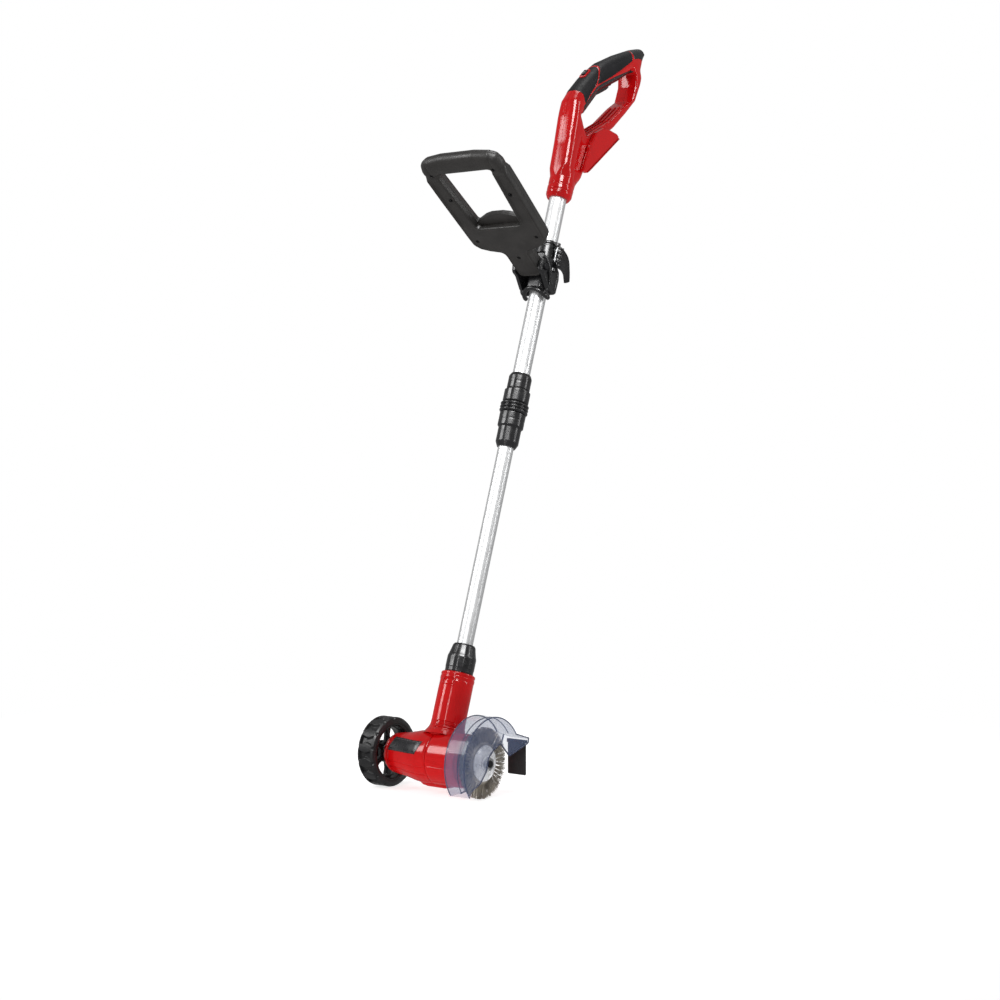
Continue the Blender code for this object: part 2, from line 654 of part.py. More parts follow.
# ======================================================================
# Neck nut, tubes and the telescopic coupling
# ======================================================================
def build_pole():
    foot = NECK_TOP_S + GAP
    top = foot + NECK_NUT_LEN
    stub_top = NECK_TOP_S + NECK_STUB_LEN
    neck_nut = sleeve("neck_nut", [
        (top, 0.0), (top, 0.0160), (top - 0.0025, 0.0175), (top - 0.014, NECK_NUT_R - 0.0004),
        (top - 0.017, NECK_NUT_R), (foot + 0.004, NECK_NUT_R - 0.0006), (foot, 0.0205),
        (foot, 0.0),
    ], 14, LOOK_BLACK, closed=False)
    taper = sleeve("neck_nut_bore", [
        (top + 0.01, 0.0), (top + 0.01, LOWER_R + RUN), (top - 0.006, LOWER_R + RUN),
        (top - 0.008, 0.0155), (stub_top, NECK_STUB_R + RUN), (foot - 0.01, NECK_STUB_R + RUN),
        (foot - 0.01, 0.0),
    ], 32, None, closed=False)
    cut(neck_nut, taper)
    sleeve("neck_collet", [
        (stub_top + GAP, LOWER_R + GAP), (stub_top + GAP, 0.0165), (top - 0.0085, 0.0145),
        (top - 0.0085, LOWER_R + GAP),
    ], 24, LOOK_GREY)
    sleeve("lower_tube", [
        (LOWER_S0, LOWER_R - TUBE_WALL), (LOWER_S1, LOWER_R - TUBE_WALL), (LOWER_S1, LOWER_R),
        (LOWER_S0, LOWER_R),
    ], 32, LOOK_ALLOY)
    upper_top = HANDLE_S + SOCKET_DEPTH - 0.001
    sleeve("upper_tube", [
        (UPPER_S0, UPPER_R - TUBE_WALL), (upper_top, UPPER_R - TUBE_WALL), (upper_top, UPPER_R),
        (UPPER_S0, UPPER_R),
    ], 32, LOOK_ALLOY)

    slim_bore = UPPER_R + GAP
    coupling = sleeve("coupling_sleeve", [
        (COUPLING_TOP_S, 0.0), (COUPLING_TOP_S, COUPLING_SLIM_R - 0.0026), (COUPLING_TOP_S - 0.004, COUPLING_SLIM_R),
        (COUPLING_STEP_S + 0.001, COUPLING_SLIM_R), (COUPLING_STEP_S, COUPLING_SLIM_R - 0.0006),
        (COUPLING_STEP_S - 0.0015, COUPLING_WIDE_R), (COUPLING_RIB_TOP_S, COUPLING_WIDE_R),
        (COUPLING_RIB_TOP_S, 0.0),
    ], 12, LOOK_BLACK, closed=False)
    spigot = sleeve("coupling_spigot", [
        (COUPLING_RIB_TOP_S + 0.006, 0.0), (COUPLING_RIB_TOP_S + 0.006, SPIGOT_R),
        (COUPLING_NUT_STEP_S + 0.0045, SPIGOT_R), (COUPLING_NUT_STEP_S + 0.0045, 0.0),
    ], 24, None, closed=False)
    way = rod("coupling_way", slim_bore, (0, 0, 0.45), (0, 0, 0.60), POLE, None, 32)
    add(coupling, spigot)
    cut(coupling, way)

    rib_top = COUPLING_RIB_TOP_S - GAP
    rib_low = COUPLING_RIB_LOW_S + GAP
    pitch = (rib_top - rib_low) / 3
    profile = [(rib_top, SPIGOT_R + GAP)]
    for k in range(3):
        high = rib_top - pitch * k
        profile.append((high - 0.0003, COUPLING_WIDE_R - 0.0003))
        profile.append((high - pitch * 0.35, COUPLING_RIB_R))
        profile.append((high - pitch * 0.75, COUPLING_RIB_R))
    profile.append((rib_low, COUPLING_WIDE_R - 0.0003))
    profile.append((rib_low, SPIGOT_R + GAP))
    sleeve("coupling_ring", profile, 24, LOOK_BLACK)

    nut = sleeve("coupling_nut", [
        (COUPLING_RIB_LOW_S, 0.0), (COUPLING_RIB_LOW_S, COUPLING_WIDE_R),
        (COUPLING_NUT_STEP_S, COUPLING_WIDE_R), (COUPLING_NUT_STEP_S - 0.0015, COUPLING_SLIM_R),
        (COUPLING_BOTTOM_S + 0.007, COUPLING_SLIM_R),
        (COUPLING_BOTTOM_S, COUPLING_SLIM_R - 0.0039),
        (COUPLING_BOTTOM_S, 0.0),
    ], 12, LOOK_BLACK, closed=False)
    collet_low = COUPLING_NUT_STEP_S - 0.009
    nut_bore = sleeve("coupling_nut_bore", [
        (COUPLING_RIB_LOW_S + 0.01, 0.0), (COUPLING_RIB_LOW_S + 0.01, SPIGOT_R + RUN),
        (collet_low, SPIGOT_R + RUN), (collet_low - 0.003, LOWER_R + RUN),
        (COUPLING_BOTTOM_S - 0.01, LOWER_R + RUN), (COUPLING_BOTTOM_S - 0.01, 0.0),
    ], 32, None, closed=False)
    cut(nut, nut_bore)
    sleeve("coupling_collet", [
        (COUPLING_NUT_STEP_S + 0.0040, LOWER_R + RUN), (COUPLING_NUT_STEP_S + 0.0040, SPIGOT_R),
        (collet_low + GAP, SPIGOT_R - 0.0004), (collet_low + GAP, LOWER_R + RUN),
    ], 24, LOOK_GREY)


# ======================================================================
# Auxiliary handle: two shells, grip sleeve, clamp, pivot and lever
# ======================================================================
def build_aux_handle():
    aux = empty("aux_frame", (0, AUX_T, AUX_S), (math.pi - AUX_TILT, 0, 0), POLE)
    half = mm([(22, -12), (31, -12), (34, -8), (34.5, 8), (36, 30), (43, 43), (57, 52),
               (65, 62), (66.5, 80), (71, 160), (73, 214), (69, 226), (58, 232.5), (30, 235.5)])
    loop = half + [(-x, y) for x, y in reversed(half)]
    window_half = mm([(30, 99), (36.5, 102), (39, 110), (44.5, 190), (41, 196.5)])
    window = window_half + [(-x, y) for x, y in reversed(window_half)]
    # fork round the clamp body
    fork = CLAMP_R + 0.0006
    beyond = AUX_HALF_THICK + 0.010
    for name, low, high in (("aux_shell_lower", GAP / 2, beyond),
                            ("aux_shell_upper", -beyond, -GAP / 2)):
        body = outline(name, [loop, window], AUX_HALF_THICK, aux, LOOK_BLACK, rot=(0, 0, 0))
        bevel(body, 0.0040, 2)
        slab = box(name + "_half", (-0.2, -0.2, low), (0.2, 0.4, high), aux, None)
        keep(body, slab)
        notch = box(name + "_fork", (-fork, -0.06, -0.05), (fork, 0.0185, 0.05), aux, None)
        pin_way = rod(name + "_pin_way", PIVOT_R + GAP, (-0.05, 0, 0), (0.05, 0, 0), aux, None, 16)
        cut(body, notch, pin_way)
    shank = 0.0348
    turned("aux_pivot_bolt", [
        (shank + 0.0030, 0.0), (shank + 0.0030, 0.0045), (shank + 0.0020, 0.0060),
        (shank, 0.0060), (shank, PIVOT_R), (-shank, PIVOT_R), (-shank, 0.0060),
        (-shank - 0.0030, 0.0060), (-shank - 0.0030, 0.0),
    ], 16, aux, LOOK_STEEL, rot=ALONG_X, closed=False)


def build_clamp():
    collar = sleeve("aux_clamp", [
        (CLAMP_S1, 0.0), (CLAMP_S1, CLAMP_R - 0.002), (CLAMP_S1 - 0.003, CLAMP_R),
        (CLAMP_S0 + 0.003, CLAMP_R), (CLAMP_S0, CLAMP_R - 0.002), (CLAMP_S0, 0.0),
    ], 24, LOOK_BLACK, closed=False)
    ear = rod("clamp_ear", 0.0100, (-EAR_X, AUX_T, AUX_S), (EAR_X, AUX_T, AUX_S), POLE, None, 20)
    neck = box("clamp_neck", (-EAR_X + 0.001, AUX_T, AUX_S - 0.0085),
               (EAR_X - 0.001, -0.0145, AUX_S + 0.0085), POLE, None)
    lug_x = LEVER_X
    lug_low = box("clamp_lug_low", (0.0100, LEVER_T - 0.0045, LEVER_S0 - 0.0048),
                  (lug_x + 0.0040, LEVER_T + 0.0045, LEVER_S0 - GAP), POLE, None)
    lug_high = box("clamp_lug_high", (0.0100, LEVER_T - 0.0045, LEVER_S1 + GAP),
                   (lug_x + 0.0040, LEVER_T + 0.0045, LEVER_S1 + 0.0048), POLE, None)
    add(collar, ear, neck, lug_low, lug_high)
    way = rod("clamp_way", UPPER_R + GAP, (0, 0, CLAMP_S0 - 0.02), (0, 0, CLAMP_S1 + 0.02),
              POLE, None, 32)
    pin_way = rod("clamp_pin_way", PIVOT_R + GAP, (-0.05, AUX_T, AUX_S), (0.05, AUX_T, AUX_S),
                  POLE, None, 16)
    slit = box("clamp_slit", (-0.0010, 0.005, CLAMP_S0 - 0.02), (0.0010, 0.05, CLAMP_S1 + 0.02),
               POLE, None)
    lever_way = rod("lever_way", LEVER_PIN_R + GAP, (lug_x, LEVER_T, LEVER_S0 - 0.02),
                    (lug_x, LEVER_T, LEVER_S1 + 0.02), POLE, None, 12)
    cut(collar, way, pin_way, slit, lever_way)
    rod("lever_pin", LEVER_PIN_R, (lug_x, LEVER_T, LEVER_S0 - 0.0045),
        (lug_x, LEVER_T, LEVER_S1 + 0.0045), POLE, LOOK_STEEL, 12)
    arm = mm([(-2.6, -3.5), (2.5, -3.8), (4.2, 0), (4.0, 9), (2.8, 20), (1.2, 31), (0.8, 38),
              (1.4, 44), (-1.8, 45.5), (-3.8, 40), (-3.6, 31), (-2.6, 20), (-1.4, 10),
              (-2.2, 4)])
    half = (LEVER_S1 - LEVER_S0) / 2
    lever = outline("clamp_lever", [arm], half, POLE, LOOK_BLACK,
                    loc=(lug_x, LEVER_T, (LEVER_S0 + LEVER_S1) / 2), rot=(0, 0, 0))
    cut(lever, lever_way)


# ======================================================================
# Rear handle
# ======================================================================
HANDLE_RING = mm([
    (-16.5, 861), (16.5, 861), (21, 871), (24, 888), (28, 902), (31, 918), (36, 935),
    (44, 962), (62, 999), (80, 1019), (104, 1056), (123, 1088), (128, 1119), (128, 1163),
    (132, 1176), (119, 1181), (103, 1171), (66, 1142), (28, 1108), (8, 1083), (-3, 1066),
    (-19, 1038), (-26.5, 1016), (-25, 990), (-21.5, 948), (-18.5, 892), (-19.5, 869)])
HANDLE_WINDOW = mm([(109, 1131), (115, 1111), (113.6, 1085), (96.9, 1065.8), (67.9, 1025.3),
                    (18.7, 976.9), (-4.9, 997.7), (2, 1008), (6, 1012), (30, 1056),
                    (38, 1063.5), (79.7, 1102.6), (104.5, 1130)])


def handle_body(name, look):
    body = outline(name, [HANDLE_RING, HANDLE_WINDOW], HANDLE_HALF, POLE, look)
    bevel(body, HANDLE_ROUND, 2, 40)
    return body


GRIP_ZONE = mm([(-60, 1036), (-14, 1036), (-7, 1029), (-3, 1022), (2, 1026), (21, 1060), (29, 1073),
                (69.7, 1115.7), (92.8, 1143.4), (97.2, 1149.2), (92.6, 1161.5), (80, 1260),
                (-60, 1260)])
CAP_ZONE = mm([(92.9, 1161.6), (97.5, 1149.35), (108, 1156), (119.5, 1159.5), (140, 1163.5),
               (140, 1260), (80.6, 1260)])


def build_rear_handle():
    bar = outline("grip_zone", [GRIP_ZONE], 0.05, POLE, None)
    bar_cut = outline("grip_zone_cut", [grown(GRIP_ZONE, GAP)], 0.05, POLE, None)

    socket = rod("tube_socket", SOCKET_R, (0, 0, HANDLE_S - 0.02),
                 (0, 0, HANDLE_S + SOCKET_DEPTH), POLE, None, 32)
    wire_room = outline("wire_room", [mm([(-10, 903), (13, 903), (17, 940), (12, 966),
                                          (-12, 984), (-14, 975)])], 0.0135, POLE, None)
    trigger_room = outline("trigger_room", [mm([
        (-1.2, 1009), (14, 1000), (60, 1075), (66, 1085), (60, 1092), (33, 1069), (12, 1043)])],
        TRIGGER_HALF + RUN, POLE, None)
    cap_cut = outline("cap_zone_cut", [grown(CAP_ZONE, GAP)], 0.05, POLE, None)
    for name, low, high in (("handle_shell_right", GAP / 2, 0.05),
                            ("handle_shell_left", -0.05, -GAP / 2)):
        shell = handle_body(name, LOOK_RED)
        side = box(name + "_side", (low, -0.1, 0.8), (high, 0.25, 1.3), POLE, None)
        keep(shell, side)
        cut(shell, bar_cut, cap_cut, socket, wire_room, trigger_room)

    grip = handle_body("handle_grip", LOOK_RUBBER)
    keep(grip, bar)
    button_tilt = -math.atan2(0.543, 0.840)
    seat = (0.0, 0.0025, 1.0745)
    pocket = box("button_pocket", (-0.0042, -0.0035, -0.0090), (0.0042, 0.0060, 0.0090), POLE, None,
                 rot=(button_tilt, 0, 0), loc=seat)
    cut(grip, pocket)
    box("lock_button", (-0.0036, -0.0026, -0.0058), (0.0036, 0.0052, 0.0058), POLE, LOOK_BLACK,
        rot=(button_tilt, 0, 0), loc=seat)

    cap = handle_body("handle_cap", LOOK_BLACK)
    cap_zone = outline("cap_zone", [CAP_ZONE], 0.05, POLE, None)
    keep(cap, cap_zone)

    pivot = (0.057, 1.080)
    shape = mm([(5.5, 1012), (11, 1008.5), (34.5, 1052), (42, 1058.5), (58, 1073), (62, 1080),
                (58, 1084.5), (52, 1083), (46, 1074), (36, 1066), (27, 1057)])
    shape = [(t - pivot[0], s - pivot[1]) for t, s in shape]
    trigger = outline("trigger", [shape], TRIGGER_HALF, POLE, LOOK_BLACK,
                      loc=(0, pivot[0], pivot[1]))
    bevel(trigger, 0.0012, 1)

    outline("switch_block", [mm([(-7, 940), (10, 940), (10, 961), (-6, 973), (-9, 970)])], 0.0075,
            POLE, LOOK_GREY)


DOCK_LOW = (0.0327, 0.9227)
DOCK_HIGH = (0.0912, 1.0053)


def build_dock():
    """The battery dock: cheeks on both sides of the handle and a recess with the contacts."""
    dock = outline("battery_dock", [mm([
        (15.1, 914.2), (17.5, 938), (20, 960), (28, 985), (45, 1001), (60.4, 1005.6),
        (80.7, 1008.8)]) + [DOCK_HIGH, DOCK_LOW] + mm([(27, 916)])], DOCK_HALF, POLE, LOOK_RED)
    bevel(dock, 0.0016, 1)
    body = outline("dock_saddle", [grown(HANDLE_RING, GAP)], HANDLE_HALF + GAP, POLE, None)
    along = Vector(DOCK_HIGH) - Vector(DOCK_LOW)
    face_tilt = -math.atan2(along.x, along.y)
    mid = (0.0, (DOCK_HIGH[0] + DOCK_LOW[0]) / 2, (DOCK_HIGH[1] + DOCK_LOW[1]) / 2)
    recess = box("dock_recess", (-0.0172, -0.0080, -0.0170), (0.0172, 0.0300, 0.0300), POLE, None,
                 rot=(face_tilt, 0, 0), loc=mid)
    cut(dock, body, recess)
    for side in (-1, 1):
        groove = box("dock_groove_%d" % side, (-0.0022, -0.0055, -0.0700),
                     (0.0022, -0.0015, 0.0700), POLE, None, rot=(face_tilt, 0, 0),
                     loc=(side * DOCK_HALF, mid[1], mid[2]))
        cut(dock, groove)
    box("terminal_block", (-0.0168, -0.0076, -0.0145), (0.0168, -0.0004, 0.0255), POLE, LOOK_BLACK,
        rot=(face_tilt, 0, 0), loc=mid)


nose_screws()
build_housings()
build_motor()
build_gears()
build_brush()
build_wheel()
build_guard()
build_pole()
build_aux_handle()
build_clamp()
build_rear_handle()
build_dock()
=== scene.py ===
"""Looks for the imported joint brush: detailed pieces and procedural materials on its bodies.

Metres, in the frame's own axes: X along the brush spindle, the operator at +Y, +Z up.
"""
import json
import math
import random

import bpy
import numpy as np
from mathutils import Matrix, Vector
from mathutils.geometry import delaunay_2d_cdt


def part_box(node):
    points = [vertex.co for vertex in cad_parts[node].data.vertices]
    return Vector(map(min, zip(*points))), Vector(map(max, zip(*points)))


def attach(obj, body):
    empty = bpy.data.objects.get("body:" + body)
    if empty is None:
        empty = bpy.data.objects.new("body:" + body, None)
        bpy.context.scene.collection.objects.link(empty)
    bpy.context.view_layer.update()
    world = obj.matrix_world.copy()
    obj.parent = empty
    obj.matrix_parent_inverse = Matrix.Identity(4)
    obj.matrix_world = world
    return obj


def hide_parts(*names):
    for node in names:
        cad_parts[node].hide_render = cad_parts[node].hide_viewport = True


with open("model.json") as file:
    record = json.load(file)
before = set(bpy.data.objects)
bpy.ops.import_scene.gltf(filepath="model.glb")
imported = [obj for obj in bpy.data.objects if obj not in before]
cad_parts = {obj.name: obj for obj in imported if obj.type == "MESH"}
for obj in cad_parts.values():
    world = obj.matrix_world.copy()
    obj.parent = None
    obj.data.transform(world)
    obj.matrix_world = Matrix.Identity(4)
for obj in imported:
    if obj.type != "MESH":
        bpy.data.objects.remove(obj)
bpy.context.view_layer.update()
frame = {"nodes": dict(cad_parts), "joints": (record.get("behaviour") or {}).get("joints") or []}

JOINTS = {joint["name"]: joint for joint in frame["joints"]}
AXLE = Vector(JOINTS["brush_spin"]["pos_m"])
POLE_AXIS = Vector(JOINTS["telescope_slide"]["axis"]).normalized()
LEAN = math.atan2(POLE_AXIS.y, POLE_AXIS.z)
AUX_TILT = math.radians(19.2)

HEAD = Matrix.Translation(AXLE)
POLE = HEAD @ Matrix.Rotation(-LEAN, 4, "X")
SPINDLE = HEAD @ Matrix.Rotation(math.pi / 2, 4, "Y")
AUX = (Matrix.Translation(Vector(JOINTS["aux_tilt"]["pos_m"]))
       @ Matrix.Rotation(-LEAN, 4, "X") @ Matrix.Rotation(math.pi - AUX_TILT, 4, "X"))


def box_x(node):
    low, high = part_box(node)
    return low.x, high.x


# ---- Materials ----
def set_inputs(node, **values):
    """Constants for a node's sockets; an underscore stands for a space in a socket's name."""
    for key, value in values.items():
        node.inputs[key.replace("_", " ")].default_value = value
    return node


def add_node(tree, kind, **values):
    return set_inputs(tree.nodes.new("ShaderNode" + kind), **values)


def material(name, colour, rough, metal=0.0, grain=900.0, bump=0.15, depth=0.0002, mottle=0.10,
             rough_swing=0.08, coat=0.0, stretch=(1, 1, 1), scuff=0.0, dust=None, alpha=1.0,
             specular=0.5):
    """A Principled material whose colour, roughness and bump vary over the piece."""
    mat = bpy.data.materials.new(name)
    mat.use_nodes = True
    tree = mat.node_tree
    nodes = tree.nodes
    links = tree.links
    shader = nodes["Principled BSDF"]
    set_inputs(shader, Metallic=metal, Coat_Weight=coat, Coat_Roughness=0.04,
               Specular_IOR_Level=specular, Alpha=alpha)
    place = nodes.new("ShaderNodeTexCoord")
    scale = add_node(tree, "Mapping", Scale=stretch)
    links.new(place.outputs["Object"], scale.inputs["Vector"])

    def noise(size, detail=3.0, rough_detail=0.55):
        node = add_node(tree, "TexNoise", Scale=size, Detail=detail, Roughness=rough_detail)
        links.new(scale.outputs["Vector"], node.inputs["Vector"])
        return node.outputs["Fac"]

    def spread(value, low, high, out_low, out_high):
        node = add_node(tree, "MapRange", From_Min=low, From_Max=high, To_Min=out_low,
                        To_Max=out_high)
        links.new(value, node.inputs["Value"])
        return node.outputs["Result"]

    def blend_colour(factor, first, second):
        node = nodes.new("ShaderNodeMix")
        node.data_type = "RGBA"
        links.new(factor, node.inputs["Factor"])
        for value, socket in ((first, node.inputs[6]), (second, node.inputs[7])):
            if isinstance(value, tuple):
                socket.default_value = (*value, 1.0)
            else:
                links.new(value, socket)
        return node.outputs[2]

    dark = tuple(c * (1 - mottle) for c in colour)
    light = tuple(min(1.0, c * (1 + mottle) + 0.002 * mottle) for c in colour)
    tone = blend_colour(spread(noise(38.0), 0.35, 0.65, 0.0, 1.0), dark, light)
    if scuff:
        worn = tuple(min(1.0, c * 0.7 + 0.10) for c in colour)
        marks = spread(noise(160.0, 6.0, 0.7), 0.62, 0.74, 0.0, scuff)
        tone = blend_colour(marks, tone, worn)
    if dust:
        film = spread(noise(70.0, 5.0, 0.65), 0.45, 0.75, 0.0, 0.5)
        tone = blend_colour(film, tone, dust)
    links.new(tone, shader.inputs["Base Color"])
    links.new(spread(noise(90.0, 4.0), 0.3, 0.7, max(0.02, rough - rough_swing),
                     rough + rough_swing), shader.inputs["Roughness"])
    bumper = add_node(tree, "Bump", Strength=bump, Distance=depth)
    links.new(noise(grain, 2.0), bumper.inputs["Height"])
    links.new(bumper.outputs["Normal"], shader.inputs["Normal"])
    return mat


RED = material("red_gloss", (0.52, 0.003, 0.004), 0.13, grain=260.0, bump=0.04, depth=0.0003,
               mottle=0.06, rough_swing=0.04, coat=0.15, scuff=0.03, specular=0.30)
BLACK = material("black_satin", (0.010, 0.010, 0.011), 0.26, grain=2600.0, bump=0.12,
                 depth=0.00008, mottle=0.20, scuff=0.05, specular=0.60)
AUX_BLACK = material("handle_black", (0.0185, 0.0170, 0.0160), 0.44, grain=2200.0, bump=0.25,
                     depth=0.0001, mottle=0.18, scuff=0.10)
GRIP = material("grip_rubber", (0.006, 0.006, 0.0075), 0.52, grain=1500.0, bump=0.45,
                depth=0.00015, mottle=0.22, scuff=0.04, specular=0.22)
TYRE = material("tyre_rubber", (0.009, 0.009, 0.010), 0.42, grain=800.0, bump=0.3, depth=0.0002,
                mottle=0.25, dust=(0.022, 0.021, 0.020))
FLAP = material("flap_rubber", (0.008, 0.008, 0.009), 0.66, grain=500.0, bump=0.4, depth=0.0002,
                mottle=0.3)
ALLOY = material("tube_alloy", (0.64, 0.645, 0.65), 0.42, metal=0.75, grain=1800.0, bump=0.10,
                 depth=0.00006, mottle=0.03, rough_swing=0.05, stretch=(1.0, 1.0, 0.03))
ZINC = material("zinc_plate", (0.82, 0.82, 0.84), 0.30, metal=0.35, grain=420.0, bump=0.10,
                depth=0.0001, mottle=0.10, rough_swing=0.10)
STEEL = material("bright_steel", (0.50, 0.51, 0.52), 0.28, metal=1.0, grain=900.0, bump=0.12,
                 depth=0.0001, mottle=0.10)
# Dark steel; on the aux handle's screw heads and the output spindle's end its darkness also paints
# the shade of their holes.
DARK_STEEL_AND_HOLE_SHADE = material("dark_steel_and_hole_shade", (0.030, 0.030, 0.032), 0.42, metal=1.0, grain=900.0,
                      bump=0.15, depth=0.0001, mottle=0.2)
WIRE = material("wire", (0.30, 0.27, 0.23), 0.42, metal=0.5, grain=700.0, bump=0.2,
                depth=0.0001, mottle=0.45)
INNER = material("inner_plastic", (0.06, 0.06, 0.065), 0.45, grain=1200.0, bump=0.1)
SMOKE = material("clear_guard", (0.16, 0.21, 0.36), 0.08, grain=120.0, bump=0.05, depth=0.0004,
                 mottle=0.05, rough_swing=0.03, alpha=0.21, coat=0.4)
SMOKE_EDGE = material("clear_guard_edge", (0.030, 0.040, 0.095), 0.12, grain=120.0, bump=0.05,
                      depth=0.0004, mottle=0.10, alpha=0.70, coat=0.5)
LABEL = material("label", (0.008, 0.008, 0.010), 0.28, grain=1200.0, bump=0.05, mottle=0.10)
LABEL_MARK = material("label_mark", (0.10, 0.10, 0.10), 0.35, grain=1200.0, bump=0.05)

NODE_LOOKS = {
    ALLOY: ("lower_tube", "upper_tube"),
    ZINC: ("spindle_flange", "brush_washer"),
    # The spindle's dark end is partly its own dark steel, partly painted shade in the brush nut's
    # bore.
    DARK_STEEL_AND_HOLE_SHADE: ("output_spindle",),
    STEEL: ("brush_nut", "wheel_axle", "axle_nut", "housing_screw", "nose_screw_1",
            "nose_screw_2", "lever_pin", "motor_shaft", "motor_can", "gearbox_plate",
            "output_bearing", "motor_pinion", "planet_gear_1", "planet_gear_2",
            "planet_gear_3", "planet_carrier"),
    INNER: ("ring_gear", "neck_collet", "coupling_collet", "switch_block"),
    BLACK: ("flap_clip", "gearbox_nose", "hub_cap", "terminal_block"),
    RED: ("battery_dock",),
}


# ---- Shape helpers ----
def mm(points):
    """Points given in millimetres, in metres."""
    return [tuple(v / 1000.0 for v in point) for point in points]


def rectangle(x, y, radius, count=4):
    """A rounded rectangle round the origin from its half sizes in millimetres."""
    return fillet(mm([(-x, -y), (x, -y), (x, y), (-x, y)]), radius, count)


def mirrored(half):
    """A closed ring from its +x half, listed from the bottom to the top."""
    return list(half) + [(-x, y) for x, y in reversed(half)]


def fillet(points, radius, count=5, closed=True):
    """Points with every corner rounded by a curve no longer than half of its sides."""
    out = []
    total = len(points)
    for i, point in enumerate(points):
        here = Vector(point)
        if not closed and i in (0, total - 1):
            out.append(tuple(here))
            continue
        back = Vector(points[i - 1]) - here
        ahead = Vector(points[(i + 1) % total]) - here
        angle = back.angle(ahead)
        if angle > math.pi - 0.03:
            out.append(tuple(here))
            continue
        reach = min(radius / math.tan(angle / 2), 0.48 * back.length, 0.48 * ahead.length)
        first = here + back.normalized() * reach
        last = here + ahead.normalized() * reach
        for k in range(count + 1):
            u = k / count
            out.append(tuple(first * (1 - u) ** 2 + here * 2 * u * (1 - u) + last * u ** 2))
    return out


def resample(ring, step, closed=True):
    """The ring or line with its sides divided into parts no longer than step."""
    out = []
    total = len(ring)
    last = total if closed else total - 1
    for i in range(last):
        a = np.array(ring[i])
        b = np.array(ring[(i + 1) % total])
        parts = max(1, int(math.ceil(np.linalg.norm(b - a) / step)))
        for k in range(parts):
            out.append(tuple(a + (b - a) * k / parts))
    if not closed:
        out.append(tuple(ring[-1]))
    return out


def arc(radius, start, end, count, centre=(0.0, 0.0)):
    out = []
    for i in range(count + 1):
        turn = math.radians(start + (end - start) * i / count)
        out.append((centre[0] + radius * math.cos(turn), centre[1] + radius * math.sin(turn)))
    return out


def circle(radius, count, centre=(0.0, 0.0)):
    return arc(radius, 0, 360 - 360 / count, count - 1, centre)


def inside(ring, points):
    """Which of the points lie inside the ring."""
    ring = np.array(ring)
    x = points[:, 0]
    y = points[:, 1]
    result = np.zeros(len(points), bool)
    for (x0, y0), (x1, y1) in zip(ring, np.roll(ring, -1, axis=0)):
        if y0 == y1:
            continue
        crosses = (y0 > y) != (y1 > y)
        result ^= crosses & (x < x0 + (y - y0) * (x1 - x0) / (y1 - y0))
    return result


def distance(ring, points, closed=True):
    """Each point's distance to the ring or line."""
    ring = np.array(ring)
    best = np.full(len(points), 1e9)
    ends = np.roll(ring, -1, axis=0) if closed else ring[1:]
    for a, b in zip(ring, ends):
        side = b - a
        length = side @ side
        if length == 0:
            continue
        t = np.clip(((points - a) @ side) / length, 0, 1)
        best = np.minimum(best, np.linalg.norm(points - (a + t[:, None] * side), axis=1))
    return best


def smooth_step(value, low, high):
    """0 below low, 1 above high, with a smooth rise between."""
    u = np.clip((value - low) / (high - low), 0, 1)
    return u * u * (3 - 2 * u)


def band(value, low, high, soft):
    """1 between low and high, falling to 0 over soft outside them."""
    return smooth_step(value, low - soft, low) * (1 - smooth_step(value, high, high + soft))


def sector(turn, low, high, soft):
    """A band round an axis, with its limits in degrees."""
    return band(turn, math.radians(low), math.radians(high), math.radians(soft))


def creases(turn, places, half_width=0.9):
    """Narrow lengthwise grooves at the places, in degrees."""
    return sum(np.exp(-((turn - math.radians(place)) / math.radians(half_width)) ** 2)
               for place in places)


def make(name, verts, faces, matrix, mat, body, nodes=(), sharp=38):
    """A mesh piece placed in the row frame, riding on a body and standing for nodes."""
    mesh = bpy.data.meshes.new(name)
    mesh.from_pydata([tuple(v) for v in verts], [], faces)
    mesh.transform(matrix)
    mesh.update()
    obj = bpy.data.objects.new(name, mesh)
    bpy.context.scene.collection.objects.link(obj)
    mesh.materials.append(mat)
    mesh.shade_smooth()
    mesh.set_sharp_from_angle(angle=math.radians(sharp))
    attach(obj, body)
    if nodes:
        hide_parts(*nodes)


def lathe(name, profile, steps, matrix, mat, body, shape=None, closed=True, **rest):
    """Turn (axial, radius) points round local Z; shape(a, r, theta) may change each radius."""
    axial = np.array([p[0] for p in profile])
    radius = np.array([p[1] for p in profile])
    theta = np.arange(steps) * 2 * math.pi / steps
    a, turn = np.meshgrid(axial, theta, indexing="ij")
    r, _ = np.meshgrid(radius, theta, indexing="ij")
    if shape:
        r = np.where(r > 1e-6, shape(a, r, turn), r)
    verts = []
    index = np.zeros(a.shape, int)
    for i in range(len(profile)):
        if radius[i] <= 1e-6:
            index[i, :] = len(verts)
            verts.append((0.0, 0.0, axial[i]))
            continue
        for k in range(steps):
            index[i, k] = len(verts)
            verts.append((r[i, k] * math.cos(theta[k]), r[i, k] * math.sin(theta[k]), axial[i]))
    area = sum(radius[i - 1] * axial[i] - radius[i] * axial[i - 1] for i in range(len(profile)))
    faces = []
    rows = len(profile) if closed else len(profile) - 1
    for i in range(rows):
        j = (i + 1) % len(profile)
        for k in range(steps):
            n = (k + 1) % steps
            quad = [index[i, k], index[i, n], index[j, n], index[j, k]]
            face = []
            for v in quad:
                if v not in face:
                    face.append(int(v))
            if len(face) > 2:
                faces.append(face if area < 0 else face[::-1])
    make(name, verts, faces, matrix, mat, body, **rest)


def facets(count, soft=0.8):
    """A radius change that turns a circle into a polygon with slightly rounded corners."""
    flat = math.cos(math.pi / count)

    def shape(a, r, theta):
        phase = ((theta * count / (2 * math.pi) + 0.5) % 1.0 - 0.5) * 2 * math.pi / count
        edge = flat / np.cos(phase)
        return r * np.minimum(edge, flat + (1 - flat) * soft)
    return shape


CLOSEST = 0.00035      # a free point of a Flat keeps this far from its rings and lines


